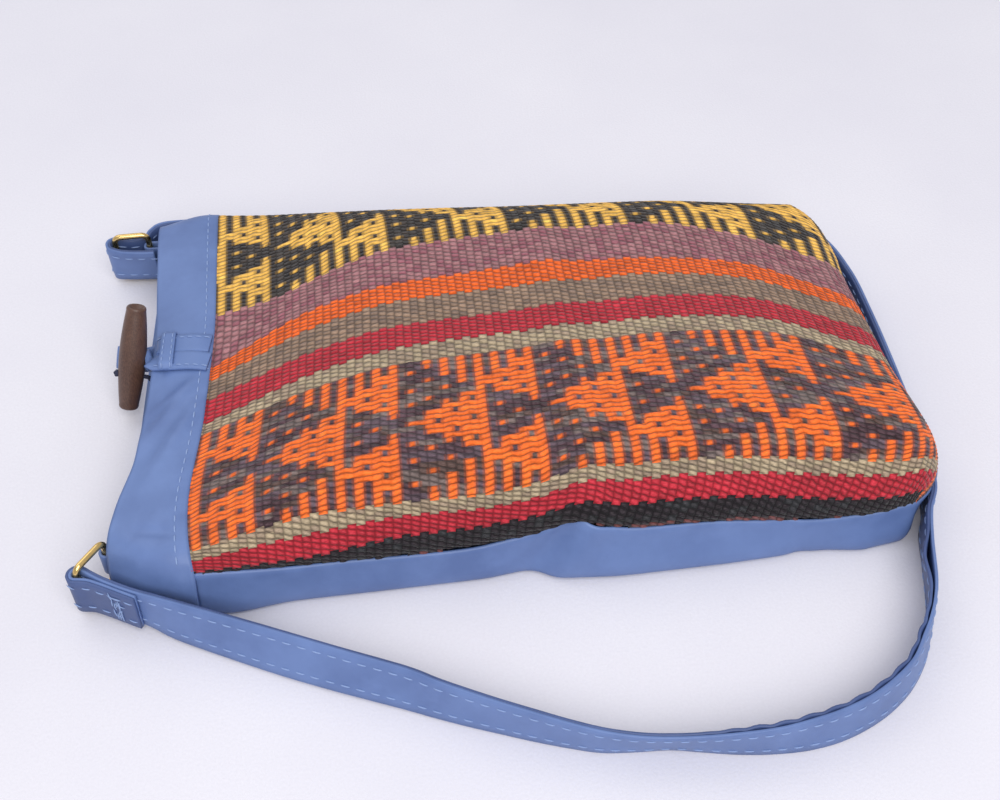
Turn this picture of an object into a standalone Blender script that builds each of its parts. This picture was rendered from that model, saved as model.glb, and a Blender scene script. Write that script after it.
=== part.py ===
"""Kilim crossbody bag lying on its back, in metres, +Z up.

+X runs from the mouth to the bottom end, +Y to the far side. The rear panel's underside is z = 0.
"""
import math

import bmesh
import bpy
from mathutils import Vector

# Driving dimensions of the bag
MOUTH_X = -0.1485
BAG_LENGTH = 0.3010
BAND_DEPTH = 0.0245
REAR_LIP_REACH = 0.0065
SIDE_LIP_REACH = 0.0040
NEAR_MOUTH_PULL = 0.0120
FAR_MOUTH_PULL = 0.0040
NEAR_HALF_MOUTH = 0.0885
NEAR_HALF_BOTTOM = 0.0775
FAR_HALF_MOUTH = 0.112
FAR_HALF_BOTTOM = 0.094
NEAR_CORNER_RADIUS = 0.014
FAR_CORNER_RADIUS = 0.026
END_SKEW = 0.0055
MOUTH_HEIGHT = 0.027
SEAM_HEIGHT = 0.031
CROWN_HEIGHT = 0.047
CROWN_RUN = 0.085

# Share of the height at which the woven panel is sewn, and how far in from there it rolls over
MOUTH_SEW_SHARE = 0.80
MOUTH_ROLL = 0.009
NEAR_SEW_SHARE = 0.43
NEAR_ROLL = 0.045
FAR_SEW_SHARE = 0.40
FAR_ROLL = 0.026
END_SEW_SHARE = 0.45
END_ROLL = 0.018
SEW_BLEND = 0.008

# Thicknesses and clearances
GAP = 0.0003
KILIM_THICKNESS = 0.0016
LEATHER_THICKNESS = 0.0014
BAND_THICKNESS = 0.0020
LINING_THICKNESS = 0.0006
LINING_CLEARANCE = 0.0037
BOTTOM_TUCK = 0.008
GUSSET_BULGE = 0.002
BAND_SQUARENESS = 4.5
GUSSET_DROP = KILIM_THICKNESS * 0.8 + GAP

# Weave: ridges across the panel, cells along it, and the bands of colour from near to far
RIDGES = 17
RIDGE_HEIGHT = 0.0005
CELLS_ALONG = 38
EDGE_EASE = 0.35
MOTIF_PERIOD = 0.0525
MOTIF_PHASE = 0.020

# Strap
STRAP_WIDTH = 0.0196
STRAP_THICKNESS = 0.0022

# Rings, with their tabs
WIRE_RADIUS = 0.0013
RING_ALONG_BAR = 0.0258
RING_ACROSS = 0.0176
RING_CORNER = 0.0022
TAB_WIDTH = 0.0110
TAB_THICKNESS = 0.0011
TAB_LENGTH = 0.0150

# Toggle, its cord and its loop
TOGGLE_LENGTH = 0.045
TOGGLE_RADIUS = 0.0055
TOGGLE_END_RADIUS = 0.0041
TOGGLE_DIMPLE = 0.0015
TOGGLE_HOLE_RADIUS = 0.0017
TOGGLE_HOLE_DROP = 0.0078
CORD_RADIUS = 0.0010
KNOT_RADIUS = 0.0024
LOOP_STRIP_WIDTH = 0.0098
LOOP_STRIP_THICKNESS = 0.0013
LOOP_CLEARANCE = 0.0007
LOOP_LIFT = 0.0016
KEEPER_LENGTH = 0.0060
KEEPER_THICKNESS = 0.0009

SEAM_X = MOUTH_X + BAND_DEPTH
END_X = MOUTH_X + BAG_LENGTH


def smooth_step(value):
    value = min(max(value, 0.0), 1.0)
    return value * value * (3.0 - 2.0 * value)


def mix(a, b, share):
    return a + (b - a) * share


# Outer form of the bag

def near_y(x):
    pull = NEAR_MOUTH_PULL * (1.0 - smooth_step((x - MOUTH_X) / BAND_DEPTH))
    return pull - mix(NEAR_HALF_MOUTH, NEAR_HALF_BOTTOM, (x - MOUTH_X) / BAG_LENGTH)


def far_y(x):
    pull = FAR_MOUTH_PULL * (1.0 - smooth_step((x - MOUTH_X) / BAND_DEPTH))
    return mix(FAR_HALF_MOUTH, FAR_HALF_BOTTOM, (x - MOUTH_X) / BAG_LENGTH) - pull


def end_line(y):
    """Plan line of the bottom end without its corners: it runs a little askew."""
    low = near_y(END_X)
    high = far_y(END_X)
    return END_X - END_SKEW * (2.0 * y - low - high) / (high - low)


def end_x(y):
    x = end_line(y)
    corners = (
        (near_y(END_X) + NEAR_CORNER_RADIUS - y, NEAR_CORNER_RADIUS),
        (y - far_y(END_X) + FAR_CORNER_RADIUS, FAR_CORNER_RADIUS),
    )
    for past, radius in corners:
        if past > 0.0:
            share = min(past / radius, 1.0)
            x -= radius * (1.0 - math.sqrt(1.0 - share * share))
    return x


def roll(distance, radius, sew_share):
    """Rises from the sewn edge to 1 over the radius, as a quarter of an ellipse."""
    inner = 1.0 - min(max(distance / radius, 0.0), 1.0)
    return sew_share + (1.0 - sew_share) * math.sqrt(1.0 - inner * inner)


def edge_distance(from_side, from_end, radius):
    """Distance in from the plan outline near one of the bottom corners, which are round."""
    if from_side < radius and from_end < radius:
        return radius - math.hypot(radius - from_side, radius - from_end)
    return min(from_side, from_end)


def top_height(x, y):
    """Height of the front panel's outer surface over a point of the plan."""
    rise = smooth_step((x - SEAM_X) / CROWN_RUN)
    crown = mix(SEAM_HEIGHT, CROWN_HEIGHT, rise)
    middle = 0.5 * (near_y(x) + far_y(x))
    half = 0.5 * (far_y(x) - near_y(x))
    crown *= 0.91 + 0.09 * (1.0 - ((y - middle) / half) ** 2)
    from_near = y - near_y(x)
    from_far = far_y(x) - y
    from_end = end_line(y) - x
    near = edge_distance(from_near, from_end, NEAR_CORNER_RADIUS)
    far = edge_distance(from_far, from_end, FAR_CORNER_RADIUS)
    distance = min(near, far)
    # Both side edges lie flat at the mouth and roll over as the bag fills out
    edges = (
        (from_near, mix(MOUTH_SEW_SHARE, NEAR_SEW_SHARE, rise), mix(MOUTH_ROLL, NEAR_ROLL, rise)),
        (from_far, mix(MOUTH_SEW_SHARE, FAR_SEW_SHARE, rise), mix(MOUTH_ROLL, FAR_ROLL, rise)),
        (from_end, END_SEW_SHARE, END_ROLL),
    )
    weights = [math.exp(-edge[0] / SEW_BLEND) for edge in edges]
    share = sum(w * edge[1] for w, edge in zip(weights, edges)) / sum(weights)
    radius = sum(w * edge[2] for w, edge in zip(weights, edges)) / sum(weights)
    return crown * roll(distance, radius, share)


def eased_across(t):
    """Cells across the panel are a little narrower at both edges, where it rolls over."""
    return t - EDGE_EASE * math.sin(2.0 * math.pi * t) / (2.0 * math.pi)


def panel_point(s, t):
    """Point of the front panel: s from the band's seam to the bottom end, t from near to far."""
    across = eased_across(t)
    along = 1.0 - (1.0 - s) ** 1.25
    y_end = mix(near_y(END_X), far_y(END_X), across)
    x = mix(SEAM_X + GAP, end_x(y_end), along)
    y = mix(near_y(x), far_y(x), across)
    return x, y


# Making objects

def clear_scene():
    for obj in list(bpy.data.objects):
        bpy.data.objects.remove(obj, do_unlink=True)


def make_material(name, color, roughness, metallic=0.0):
    material = bpy.data.materials.new(name)
    material.use_nodes = True
    shader = material.node_tree.nodes["Principled BSDF"]
    shader.inputs["Base Color"].default_value = (*color, 1.0)
    shader.inputs["Roughness"].default_value = roughness
    shader.inputs["Metallic"].default_value = metallic
    material.diffuse_color = (*color, 1.0)
    return material


def add_object(name, mesh, materials, collection):
    obj = bpy.data.objects.new(name, mesh)
    for material in materials:
        mesh.materials.append(material)
    collection.objects.link(obj)
    return obj


def grid_mesh(name, rows, columns, point, cyclic=False):
    """Open surface of rows by columns of quads, each corner from point(i, j)."""
    shape = bmesh.new()
    across = columns if cyclic else columns + 1
    corners = [[shape.verts.new(point(i, j)) for j in range(across)] for i in range(rows + 1)]
    for i in range(rows):
        for j in range(columns):
            k = (j + 1) % across
            shape.faces.new((corners[i][j], corners[i][k], corners[i + 1][k], corners[i + 1][j]))
    mesh = bpy.data.meshes.new(name)
    shape.to_mesh(mesh)
    shape.free()
    return mesh


def solidify(obj, thickness, offset):
    modifier = obj.modifiers.new("Thickness", "SOLIDIFY")
    modifier.thickness = thickness
    modifier.offset = offset
    modifier.use_even_offset = False


def ribbon_mesh(name, stations, width, thickness):
    """Flat strip through stations of (centre, direction of its width)."""
    shape = bmesh.new()
    rings = []
    count = len(stations)
    for index, (centre, side) in enumerate(stations):
        before = stations[max(index - 1, 0)][0]
        after = stations[min(index + 1, count - 1)][0]
        along = (after - before).normalized()
        across = (side - along * side.dot(along)).normalized()
        normal = along.cross(across)
        half = across * (width / 2.0)
        deep = normal * (thickness / 2.0)
        corners = (centre - half - deep, centre + half - deep, centre + half + deep, centre - half + deep)
        rings.append([shape.verts.new(corner) for corner in corners])
    for first, second in zip(rings, rings[1:]):
        for k in range(4):
            m = (k + 1) % 4
            shape.faces.new((first[k], first[m], second[m], second[k]))
    shape.faces.new(list(reversed(rings[0])))
    shape.faces.new(rings[-1])
    bmesh.ops.recalc_face_normals(shape, faces=shape.faces)
    mesh = bpy.data.meshes.new(name)
    shape.to_mesh(mesh)
    shape.free()
    return mesh


def curve_through(points, steps):
    """Smooth curve (Catmull-Rom) through the points, with steps stretches between two of them."""
    result = []
    for i in range(len(points) - 1):
        p0 = points[max(i - 1, 0)]
        p1 = points[i]
        p2 = points[i + 1]
        p3 = points[min(i + 2, len(points) - 1)]
        for step in range(steps):
            u = step / steps
            result.append(0.5 * ((2.0 * p1) + (p2 - p0) * u + (2.0 * p0 - 5.0 * p1 + 4.0 * p2 - p3) * u * u
                                 + (3.0 * p1 - 3.0 * p2 + p3 - p0) * u * u * u))
    result.append(points[-1].copy())
    return result


def tube_object(name, points, radius, material, collection, cyclic=False, resolution=2):
    curve = bpy.data.curves.new(name, "CURVE")
    curve.dimensions = "3D"
    curve.bevel_depth = radius
    curve.bevel_resolution = resolution
    curve.use_fill_caps = not cyclic
    spline = curve.splines.new("POLY")
    spline.points.add(len(points) - 1)
    for target, point in zip(spline.points, points):
        target.co = (*point, 1.0)
    spline.use_cyclic_u = cyclic
    obj = bpy.data.objects.new(name, curve)
    obj.data.materials.append(material)
    collection.objects.link(obj)
    return obj


# The woven front panel

STRIPES = (
    (0.045, "black"),
    (0.150, "red"),
    (0.215, "beige"),
    (0.560, "motif"),
    (0.600, "beige"),
    (0.665, "red"),
    (0.730, "grey"),
    (0.775, "orange"),
    (0.865, "mauve"),
    (1.001, "gold_motif"),
)


def weave_color(x, t):
    """Name of the colour at a place along the panel (metres) and across it (share)."""
    start = 0.0
    for end, kind in STRIPES:
        if t < end:
            break
        start = end
    if kind not in ("motif", "gold_motif"):
        return kind
    across = (t - start) / (end - start)
    quarter = abs(across - 0.5) * 4.0
    along = ((x - MOTIF_PHASE) / MOTIF_PERIOD) % 1.0 * 2.0
    if along < 1.0:
        inside = quarter < along
    else:
        inside = abs(quarter - 1.0) < along - 1.0
    if kind == "motif":
        return "bright_orange" if inside else "dark"
    return "gold" if inside else "black"


def make_kilim(collection):
    colors = {
        "black": (0.018, 0.014, 0.015),
        "red": (0.480, 0.035, 0.036),
        "beige": (0.380, 0.300, 0.190),
        "bright_orange": (0.950, 0.155, 0.022),
        "dark": (0.098, 0.058, 0.080),
        "grey": (0.240, 0.190, 0.133),
        "orange": (0.780, 0.112, 0.013),
        "mauve": (0.270, 0.133, 0.171),
        "gold": (0.730, 0.413, 0.072),
    }
    names = list(colors)
    materials = [make_material("kilim_" + name, colors[name], 0.95) for name in names]
    across = 2 * RIDGES
    along = CELLS_ALONG

    def point(i, j):
        x, y = panel_point(j / along, i / across)
        z = top_height(x, y)
        if 0 < i < across and i % 2 == 0:
            z -= RIDGE_HEIGHT
        return x, y, z

    mesh = grid_mesh("kilim_panel", across, along, point)
    for index, face in enumerate(mesh.polygons):
        i, j = divmod(index, along)
        t = (i + 0.5) / across
        x, y = panel_point((j + 0.5) / along, t)
        face.material_index = names.index(weave_color(x, t))
    obj = add_object("kilim_panel", mesh, materials, collection)
    solidify(obj, KILIM_THICKNESS, -1.0)
    return obj


# Leather shell: gusset, rear panel, mouth band, lining

def outline():
    """Plan outline from the band's seam on the near side, round the bottom end, to the far side."""
    columns = 2 * RIDGES
    side = [panel_point(2.0 * i / CELLS_ALONG, 0.0) for i in range(CELLS_ALONG // 2)]
    end = [panel_point(1.0, j / columns) for j in range(columns + 1)]
    back = [panel_point(2.0 * i / CELLS_ALONG, 1.0) for i in reversed(range(CELLS_ALONG // 2))]
    return [Vector(place) for place in side + end + back]


def outward_normals(places):
    result = []
    for index in range(len(places)):
        ahead = places[min(index + 1, len(places) - 1)]
        behind = places[max(index - 1, 0)]
        along = (ahead - behind).normalized()
        result.append(Vector((along.y, -along.x)))
    return result


def make_gusset(material, collection):
    places = outline()
    normals = outward_normals(places)
    up = 5

    def point(i, j):
        plan = places[j]
        top = top_height(plan.x, plan.y) - GUSSET_DROP
        height = i / up
        tuck = BOTTOM_TUCK * (1.0 - min(height * 2.2, 1.0)) ** 2
        bulge = GUSSET_BULGE * math.sin(math.pi * height)
        place = plan + normals[j] * (bulge - tuck)
        z = GAP + (top - GAP) * height ** 1.6
        return place.x, place.y, z

    mesh = grid_mesh("side_gusset", up, len(places) - 1, point)
    obj = add_object("side_gusset", mesh, [material], collection)
    solidify(obj, LEATHER_THICKNESS, -1.0)
    return obj


def inset_outline(inset):
    """The plan outline moved inwards, from the band's seam round the bottom end and back."""
    start = SEAM_X + GAP
    low = near_y(END_X) + NEAR_CORNER_RADIUS
    high = far_y(END_X) - FAR_CORNER_RADIUS
    places = [(start, near_y(start) + inset)]
    for middle, radius, first in ((low, NEAR_CORNER_RADIUS, -90.0), (high, FAR_CORNER_RADIUS, 0.0)):
        reach = radius - inset
        for step in range(5):
            angle = math.radians(first + 90.0 * step / 4.0)
            x = end_line(middle) - radius + reach * math.cos(angle)
            places.append((x, middle + reach * math.sin(angle)))
    places.append((start, far_y(start) - inset))
    return places


def make_rear_panel(material, collection):
    places = inset_outline(BOTTOM_TUCK + 3.0 * GAP)
    curve = bpy.data.curves.new("rear_panel", "CURVE")
    curve.dimensions = "2D"
    curve.fill_mode = "BOTH"
    curve.extrude = LEATHER_THICKNESS / 2.0
    spline = curve.splines.new("POLY")
    spline.points.add(len(places) - 1)
    for target, place in zip(spline.points, places):
        target.co = (*place, 0.0, 1.0)
    spline.use_cyclic_u = True
    obj = bpy.data.objects.new("rear_panel", curve)
    curve.materials.append(material)
    obj.location.z = LEATHER_THICKNESS / 2.0
    collection.objects.link(obj)
    return obj


def band_point(share, angle):
    """Point of the flattened tube of the mouth: share runs from the lip to the seam."""
    side = math.cos(angle)
    rise = math.sin(angle)
    lip = MOUTH_X - SIDE_LIP_REACH * side * side - REAR_LIP_REACH * 0.5 * (1.0 - rise)
    x = mix(lip, SEAM_X - GAP * 2.0, share)
    height = mix(MOUTH_HEIGHT, SEAM_HEIGHT, share)
    square = 2.0 / BAND_SQUARENESS
    middle = 0.5 * (near_y(x) + far_y(x))
    half = 0.5 * (far_y(x) - near_y(x))
    y = middle + half * math.copysign(abs(side) ** square, side)
    z = height / 2.0 * (1.0 + math.copysign(abs(rise) ** square, rise))
    return x, y, z + GAP * (1.0 - z / height)


def make_band(material, collection):
    around = 56
    along = 4

    def point(i, j):
        return band_point(i / along, 2.0 * math.pi * (j + 0.5) / around)

    mesh = grid_mesh("mouth_band", along, around, point, cyclic=True)
    obj = add_object("mouth_band", mesh, [material], collection)
    solidify(obj, BAND_THICKNESS, -1.0)
    return obj


def make_lining(material, collection):
    around = 32
    along = 8
    start = SEAM_X - 0.010
    finish = END_X - 0.026

    def point(i, j):
        share = i / along
        x = mix(start, finish, share)
        angle = 2.0 * math.pi * (j + 0.5) / around
        square = 2.0 / 2.8
        close = 1.0 - 0.35 * smooth_step((share - 0.75) / 0.25)
        rise_share = smooth_step((x - SEAM_X) / CROWN_RUN)
        crown = mix(SEAM_HEIGHT, CROWN_HEIGHT, rise_share)
        low = near_y(x) + LINING_CLEARANCE + 0.006 * rise_share
        high = far_y(x) - LINING_CLEARANCE - 0.010 * rise_share
        half_y = 0.5 * (high - low) * close
        half_z = (crown * 0.5 - LINING_CLEARANCE) * close
        side = math.cos(angle)
        rise = math.sin(angle)
        y = 0.5 * (low + high) + half_y * math.copysign(abs(side) ** square, side)
        z = crown * 0.47 + half_z * math.copysign(abs(rise) ** square, rise)
        return x, y, z

    mesh = grid_mesh("lining", along, around, point, cyclic=True)
    shape = bmesh.new()
    shape.from_mesh(mesh)
    rim = [edge for edge in shape.edges if edge.is_boundary and edge.verts[0].co.x > 0.0]
    bmesh.ops.holes_fill(shape, edges=rim, sides=0)
    shape.to_mesh(mesh)
    shape.free()
    obj = add_object("lining", mesh, [material], collection)
    solidify(obj, LINING_THICKNESS, -1.0)
    return obj


# Rings and their tabs

class RingPlace:
    """Where a ring sits: the centre of its bar in the tab, the bar's direction and its run outwards."""

    def __init__(self, bar_centre, bar_direction, outwards):
        self.bar_centre = Vector(bar_centre)
        self.bar_direction = Vector(bar_direction).normalized()
        self.outwards = Vector(outwards).normalized()

    def strap_bar(self):
        return self.bar_centre + self.outwards * (RING_ACROSS - 2.0 * WIRE_RADIUS)


RING_BASE = 0.0006
RING_MIDDLE = RING_BASE + RING_ALONG_BAR / 2.0
TAB_REACH = 0.0050
TAB_SEAT = BAND_THICKNESS + 0.0012 + TAB_THICKNESS + GAP + WIRE_RADIUS
LIP_SIDE_X = MOUTH_X - SIDE_LIP_REACH - REAR_LIP_REACH * 0.5
UPRIGHT = (0.0, 0.0, 1.0)
NEAR_BAR = (LIP_SIDE_X - TAB_REACH + 0.0022, near_y(MOUTH_X) + TAB_SEAT, RING_MIDDLE)
FAR_BAR = (LIP_SIDE_X - TAB_REACH + 0.0022, far_y(MOUTH_X) - TAB_SEAT - 0.0006, RING_MIDDLE)
NEAR_RING = RingPlace(NEAR_BAR, UPRIGHT, (-0.567, -0.824, 0.0))
FAR_RING = RingPlace(FAR_BAR, UPRIGHT, (-0.998, -0.060, 0.0))


def make_ring(name, place, material, collection):
    half_bar = RING_ALONG_BAR / 2.0 - WIRE_RADIUS
    across = RING_ACROSS - 2.0 * WIRE_RADIUS
    radius = RING_CORNER
    corners = (
        (half_bar - radius, radius, -90.0),
        (half_bar - radius, across - radius, 0.0),
        (-half_bar + radius, across - radius, 90.0),
        (-half_bar + radius, radius, 180.0),
    )
    points = []
    for along, out, start in corners:
        for step in range(6):
            angle = math.radians(start + 90.0 * step / 5.0)
            a = along + radius * math.cos(angle)
            b = out + radius * math.sin(angle)
            points.append(place.bar_direction * a + place.outwards * b)
    obj = tube_object(name, points, WIRE_RADIUS, material, collection, cyclic=True)
    obj.location = place.bar_centre
    return obj


def make_tab(name, place, inwards, material, collection):
    """Strip folded round the ring's bar, with both ends running into the mouth."""
    radius = WIRE_RADIUS + GAP + TAB_THICKNESS / 2.0
    inwards = Vector(inwards).normalized()
    above = inwards.cross(place.bar_direction)
    centre = place.bar_centre
    points = [centre + inwards * TAB_LENGTH + above * radius]
    points.append(centre + inwards * (TAB_LENGTH * 0.5) + above * radius)
    for step in range(9):
        angle = math.radians(90.0 + 180.0 * step / 8.0)
        points.append(centre + inwards * (radius * math.cos(angle)) + above * (radius * math.sin(angle)))
    points.append(centre + inwards * (TAB_LENGTH * 0.5) - above * radius)
    points.append(centre + inwards * TAB_LENGTH - above * radius)
    stations = [(point, place.bar_direction) for point in points]
    mesh = ribbon_mesh(name, stations, TAB_WIDTH, TAB_THICKNESS)
    return add_object(name, mesh, [material], collection)


# Strap: centre of the strip, and the lean of its width from lying outwards (0) to upright (90)

STRAP_ROUTE = (
    (-0.1450, -0.0948, 0.0132, 90.0),
    (-0.1522, -0.0913, 0.0134, 90.0),
    (-0.1585, -0.0882, 0.0135, 90.0),
    (-0.1633, -0.0862, 0.0135, 90.0),
    (-0.1682, -0.0855, 0.0135, 90.0),
    (-0.1697, -0.0838, 0.0135, 90.0),
    (-0.1695, -0.0817, 0.0135, 90.0),
    (-0.1680, -0.0803, 0.0135, 90.0),
    (-0.1657, -0.0803, 0.0135, 90.0),
    (-0.1616, -0.0831, 0.0135, 90.0),
    (-0.1573, -0.0858, 0.0135, 90.0),
    (-0.1511, -0.0889, 0.0132, 90.0),
    (-0.1455, -0.0915, 0.0129, 91.0),
    (-0.1390, -0.0942, 0.0122, 95.0),
    (-0.1295, -0.0984, 0.0111, 102.0),
    (-0.1062, -0.1081, 0.0103, 108.0),
    (-0.0898, -0.1150, 0.0101, 110.0),
    (-0.0720, -0.1223, 0.0102, 109.0),
    (-0.0507, -0.1308, 0.0103, 105.0),
    (-0.0250, -0.1416, 0.0104, 92.0),
    (0.0014, -0.1510, 0.0104, 78.0),
    (0.0206, -0.1562, 0.0101, 68.0),
    (0.0370, -0.1583, 0.0090, 54.0),
    (0.0520, -0.1588, 0.0069, 34.0),
    (0.0667, -0.1585, 0.0060, 27.0),
    (0.0811, -0.1580, 0.0058, 26.0),
    (0.0961, -0.1559, 0.0059, 26.0),
    (0.1118, -0.1511, 0.0064, 30.0),
    (0.1220, -0.1455, 0.0073, 37.0),
    (0.1310, -0.1379, 0.0088, 52.0),
    (0.1388, -0.1273, 0.0099, 68.0),
    (0.1449, -0.1133, 0.0104, 82.0),
    (0.1508, -0.0965, 0.0104, 90.0),
    (0.1577, -0.0810, 0.0104, 91.0),
    (0.1614, -0.0620, 0.0104, 91.0),
    (0.1612, -0.0400, 0.0104, 91.0),
    (0.1606, -0.0150, 0.0104, 91.0),
    (0.1598, 0.0100, 0.0104, 91.0),
    (0.1586, 0.0330, 0.0104, 91.0),
    (0.1560, 0.0600, 0.0104, 91.0),
    (0.1480, 0.0840, 0.0104, 91.0),
    (0.1290, 0.0995, 0.0104, 90.0),
    (0.0950, 0.1055, 0.0104, 90.0),
    (0.0400, 0.1085, 0.0104, 90.0),
    (-0.0200, 0.1115, 0.0104, 90.0),
    (-0.0700, 0.1137, 0.0104, 90.0),
    (-0.1150, 0.1157, 0.0108, 90.0),
    (-0.1430, 0.1151, 0.0122, 90.0),
    (-0.1600, 0.1124, 0.0132, 90.0),
    (-0.1675, 0.1083, 0.0135, 90.0),
    (-0.1740, 0.1036, 0.0135, 90.0),
    (-0.1760, 0.1014, 0.0135, 90.0),
    (-0.1762, 0.0992, 0.0135, 90.0),
    (-0.1748, 0.0974, 0.0135, 90.0),
    (-0.1715, 0.0968, 0.0135, 90.0),
    (-0.1670, 0.0968, 0.0135, 90.0),
    (-0.1625, 0.0968, 0.0135, 90.0),
)


def strap_stations():
    centres = [Vector(row[:3]) for row in STRAP_ROUTE]
    count = len(centres)
    sides = []
    for index, row in enumerate(STRAP_ROUTE):
        before = centres[max(index - 1, 0)]
        after = centres[min(index + 1, count - 1)]
        along = (after - before).normalized()
        outwards = along.cross(Vector(UPRIGHT)).normalized()
        lean = math.radians(row[3])
        sides.append(outwards * math.cos(lean) + Vector(UPRIGHT) * math.sin(lean))
    steps = 2
    points = curve_through(centres, steps)
    turned = curve_through(sides, steps)
    return list(zip(points, turned))


def make_strap(material, collection):
    mesh = ribbon_mesh("strap", strap_stations(), STRAP_WIDTH, STRAP_THICKNESS)
    return add_object("strap", mesh, [material], collection)


# Toggle, loop, keeper and cord

TOGGLE_AXIS = Vector((0.200, 0.434, 0.878)).normalized()
TOGGLE_CENTRE = Vector((-0.1569, 0.0234, 0.0258))
# The loop holds the toggle this far above its middle
LOOP_RISE = 0.0048
LOOP_SEAM_Y = 0.0162
LOOP_KEEPER_Y = 0.0210


def make_toggle(material, collection, cutters):
    """Turned barrel with dimpled ends, drilled across for its cord."""
    half = TOGGLE_LENGTH / 2.0
    belly = (0.0, 0.3, 0.6, 0.85, 1.0)
    profile = [(0.0, half - TOGGLE_DIMPLE), (TOGGLE_END_RADIUS * 0.55, half - TOGGLE_DIMPLE * 0.7)]
    profile.append((TOGGLE_END_RADIUS * 0.80, half))
    profile.append((TOGGLE_END_RADIUS, half - 0.0008))
    for share in belly[-2::-1]:
        radius = mix(TOGGLE_RADIUS, TOGGLE_END_RADIUS, share ** 1.8)
        profile.append((radius, half * share))
    for radius, height in reversed(profile[:-1]):
        profile.append((radius, -height))
    mesh = bpy.data.meshes.new("toggle")
    shape = bmesh.new()
    verts = [shape.verts.new((radius, 0.0, height)) for radius, height in profile]
    for first, second in zip(verts, verts[1:]):
        shape.edges.new((first, second))
    shape.to_mesh(mesh)
    shape.free()
    obj = add_object("toggle", mesh, [material], collection)
    screw = obj.modifiers.new("Turn", "SCREW")
    screw.axis = "Z"
    screw.steps = 20
    screw.render_steps = 20
    screw.use_merge_vertices = True
    screw.merge_threshold = 0.00001
    screw.use_normal_calculate = True
    obj.rotation_euler = TOGGLE_AXIS.to_track_quat("Z", "Y").to_euler()
    obj.location = TOGGLE_CENTRE
    hole = bmesh.new()
    bmesh.ops.create_cone(hole, cap_ends=True, segments=12, radius1=TOGGLE_HOLE_RADIUS,
                          radius2=TOGGLE_HOLE_RADIUS, depth=TOGGLE_RADIUS * 4.0)
    hole_mesh = bpy.data.meshes.new("toggle_hole")
    hole.to_mesh(hole_mesh)
    hole.free()
    drill = bpy.data.objects.new("toggle_hole", hole_mesh)
    drill.location = cord_hole_centre()
    drill.rotation_euler = cord_hole_direction().to_track_quat("Z", "Y").to_euler()
    drill.hide_render = True
    drill.display_type = "WIRE"
    cutters.objects.link(drill)
    cut = obj.modifiers.new("Cord hole", "BOOLEAN")
    cut.operation = "DIFFERENCE"
    cut.object = drill
    cut.solver = "EXACT"
    return obj


def cord_hole_centre():
    return TOGGLE_CENTRE - TOGGLE_AXIS * TOGGLE_HOLE_DROP


def cord_hole_direction():
    """Across the toggle, pointing to the bag."""
    side = Vector((1.0, 0.0, 0.0))
    return (side - TOGGLE_AXIS * side.dot(TOGGLE_AXIS)).normalized()


def make_toggle_cord(material, collection):
    centre = cord_hole_centre()
    across = cord_hole_direction()
    outside = centre - across * (TOGGLE_RADIUS + KNOT_RADIUS * 0.6)
    hidden = centre + across * TOGGLE_RADIUS
    inside = centre + across * (TOGGLE_RADIUS + 0.0012)
    rear_lip = Vector((MOUTH_X + 0.006, centre.y + 0.001, BAND_THICKNESS + CORD_RADIUS + 0.0008))
    bend = Vector((MOUTH_X - 0.001, centre.y + 0.0012, 0.0085))
    points = curve_through([outside, centre, hidden, inside, bend, rear_lip], 4)
    cord = tube_object("toggle_cord", points, CORD_RADIUS, material, collection)
    return with_knot(cord, outside, material, collection)


def with_knot(cord, place, material, collection):
    """Cord made a mesh, with its knot joined on by a union."""
    depsgraph = bpy.context.evaluated_depsgraph_get()
    mesh = bpy.data.meshes.new_from_object(cord.evaluated_get(depsgraph))
    shape = bmesh.new()
    shape.from_mesh(mesh)
    bmesh.ops.remove_doubles(shape, verts=shape.verts, dist=0.00001)
    shape.to_mesh(mesh)
    shape.free()
    bpy.data.objects.remove(cord)
    obj = add_object("toggle_cord", mesh, [], collection)
    ball = bmesh.new()
    bmesh.ops.create_uvsphere(ball, u_segments=12, v_segments=8, radius=KNOT_RADIUS)
    bmesh.ops.translate(ball, verts=ball.verts, vec=place)
    ball_mesh = bpy.data.meshes.new("cord_knot")
    ball.to_mesh(ball_mesh)
    ball.free()
    knot = bpy.data.objects.new("cord_knot", ball_mesh)
    knot.hide_render = True
    knot.display_type = "WIRE"
    bpy.data.collections["cutters"].objects.link(knot)
    join = obj.modifiers.new("Knot", "BOOLEAN")
    join.operation = "UNION"
    join.object = knot
    join.solver = "EXACT"
    return obj


def band_top(x, y):
    """Height of the band's outer surface on the front."""
    share = (x - MOUTH_X) / BAND_DEPTH
    height = mix(MOUTH_HEIGHT, SEAM_HEIGHT, share)
    middle = 0.5 * (near_y(x) + far_y(x))
    half = 0.5 * (far_y(x) - near_y(x))
    level = (1.0 - abs((y - middle) / half) ** BAND_SQUARENESS) ** (1.0 / BAND_SQUARENESS)
    return height / 2.0 * (1.0 + level)


def leg_stations(direction):
    """Stations of one leg from the seam to the keeper, direction 1 for the far leg and -1 for the near."""
    flat = Vector((0.0, direction, 0.0))
    offset = direction * (LOOP_STRIP_WIDTH / 2.0 + 0.0002)
    stations = []
    for share in (0.0, 0.35, 0.70, 1.0):
        x = mix(SEAM_X - 2.0 * GAP, MOUTH_X + 0.0030, share)
        y = mix(LOOP_SEAM_Y, LOOP_KEEPER_Y, share) + offset
        z = band_top(x, y) + GAP * 2.0 + LOOP_STRIP_THICKNESS / 2.0 + LOOP_LIFT * share * share
        stations.append((Vector((x, y, z)), flat))
    return stations


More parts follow.
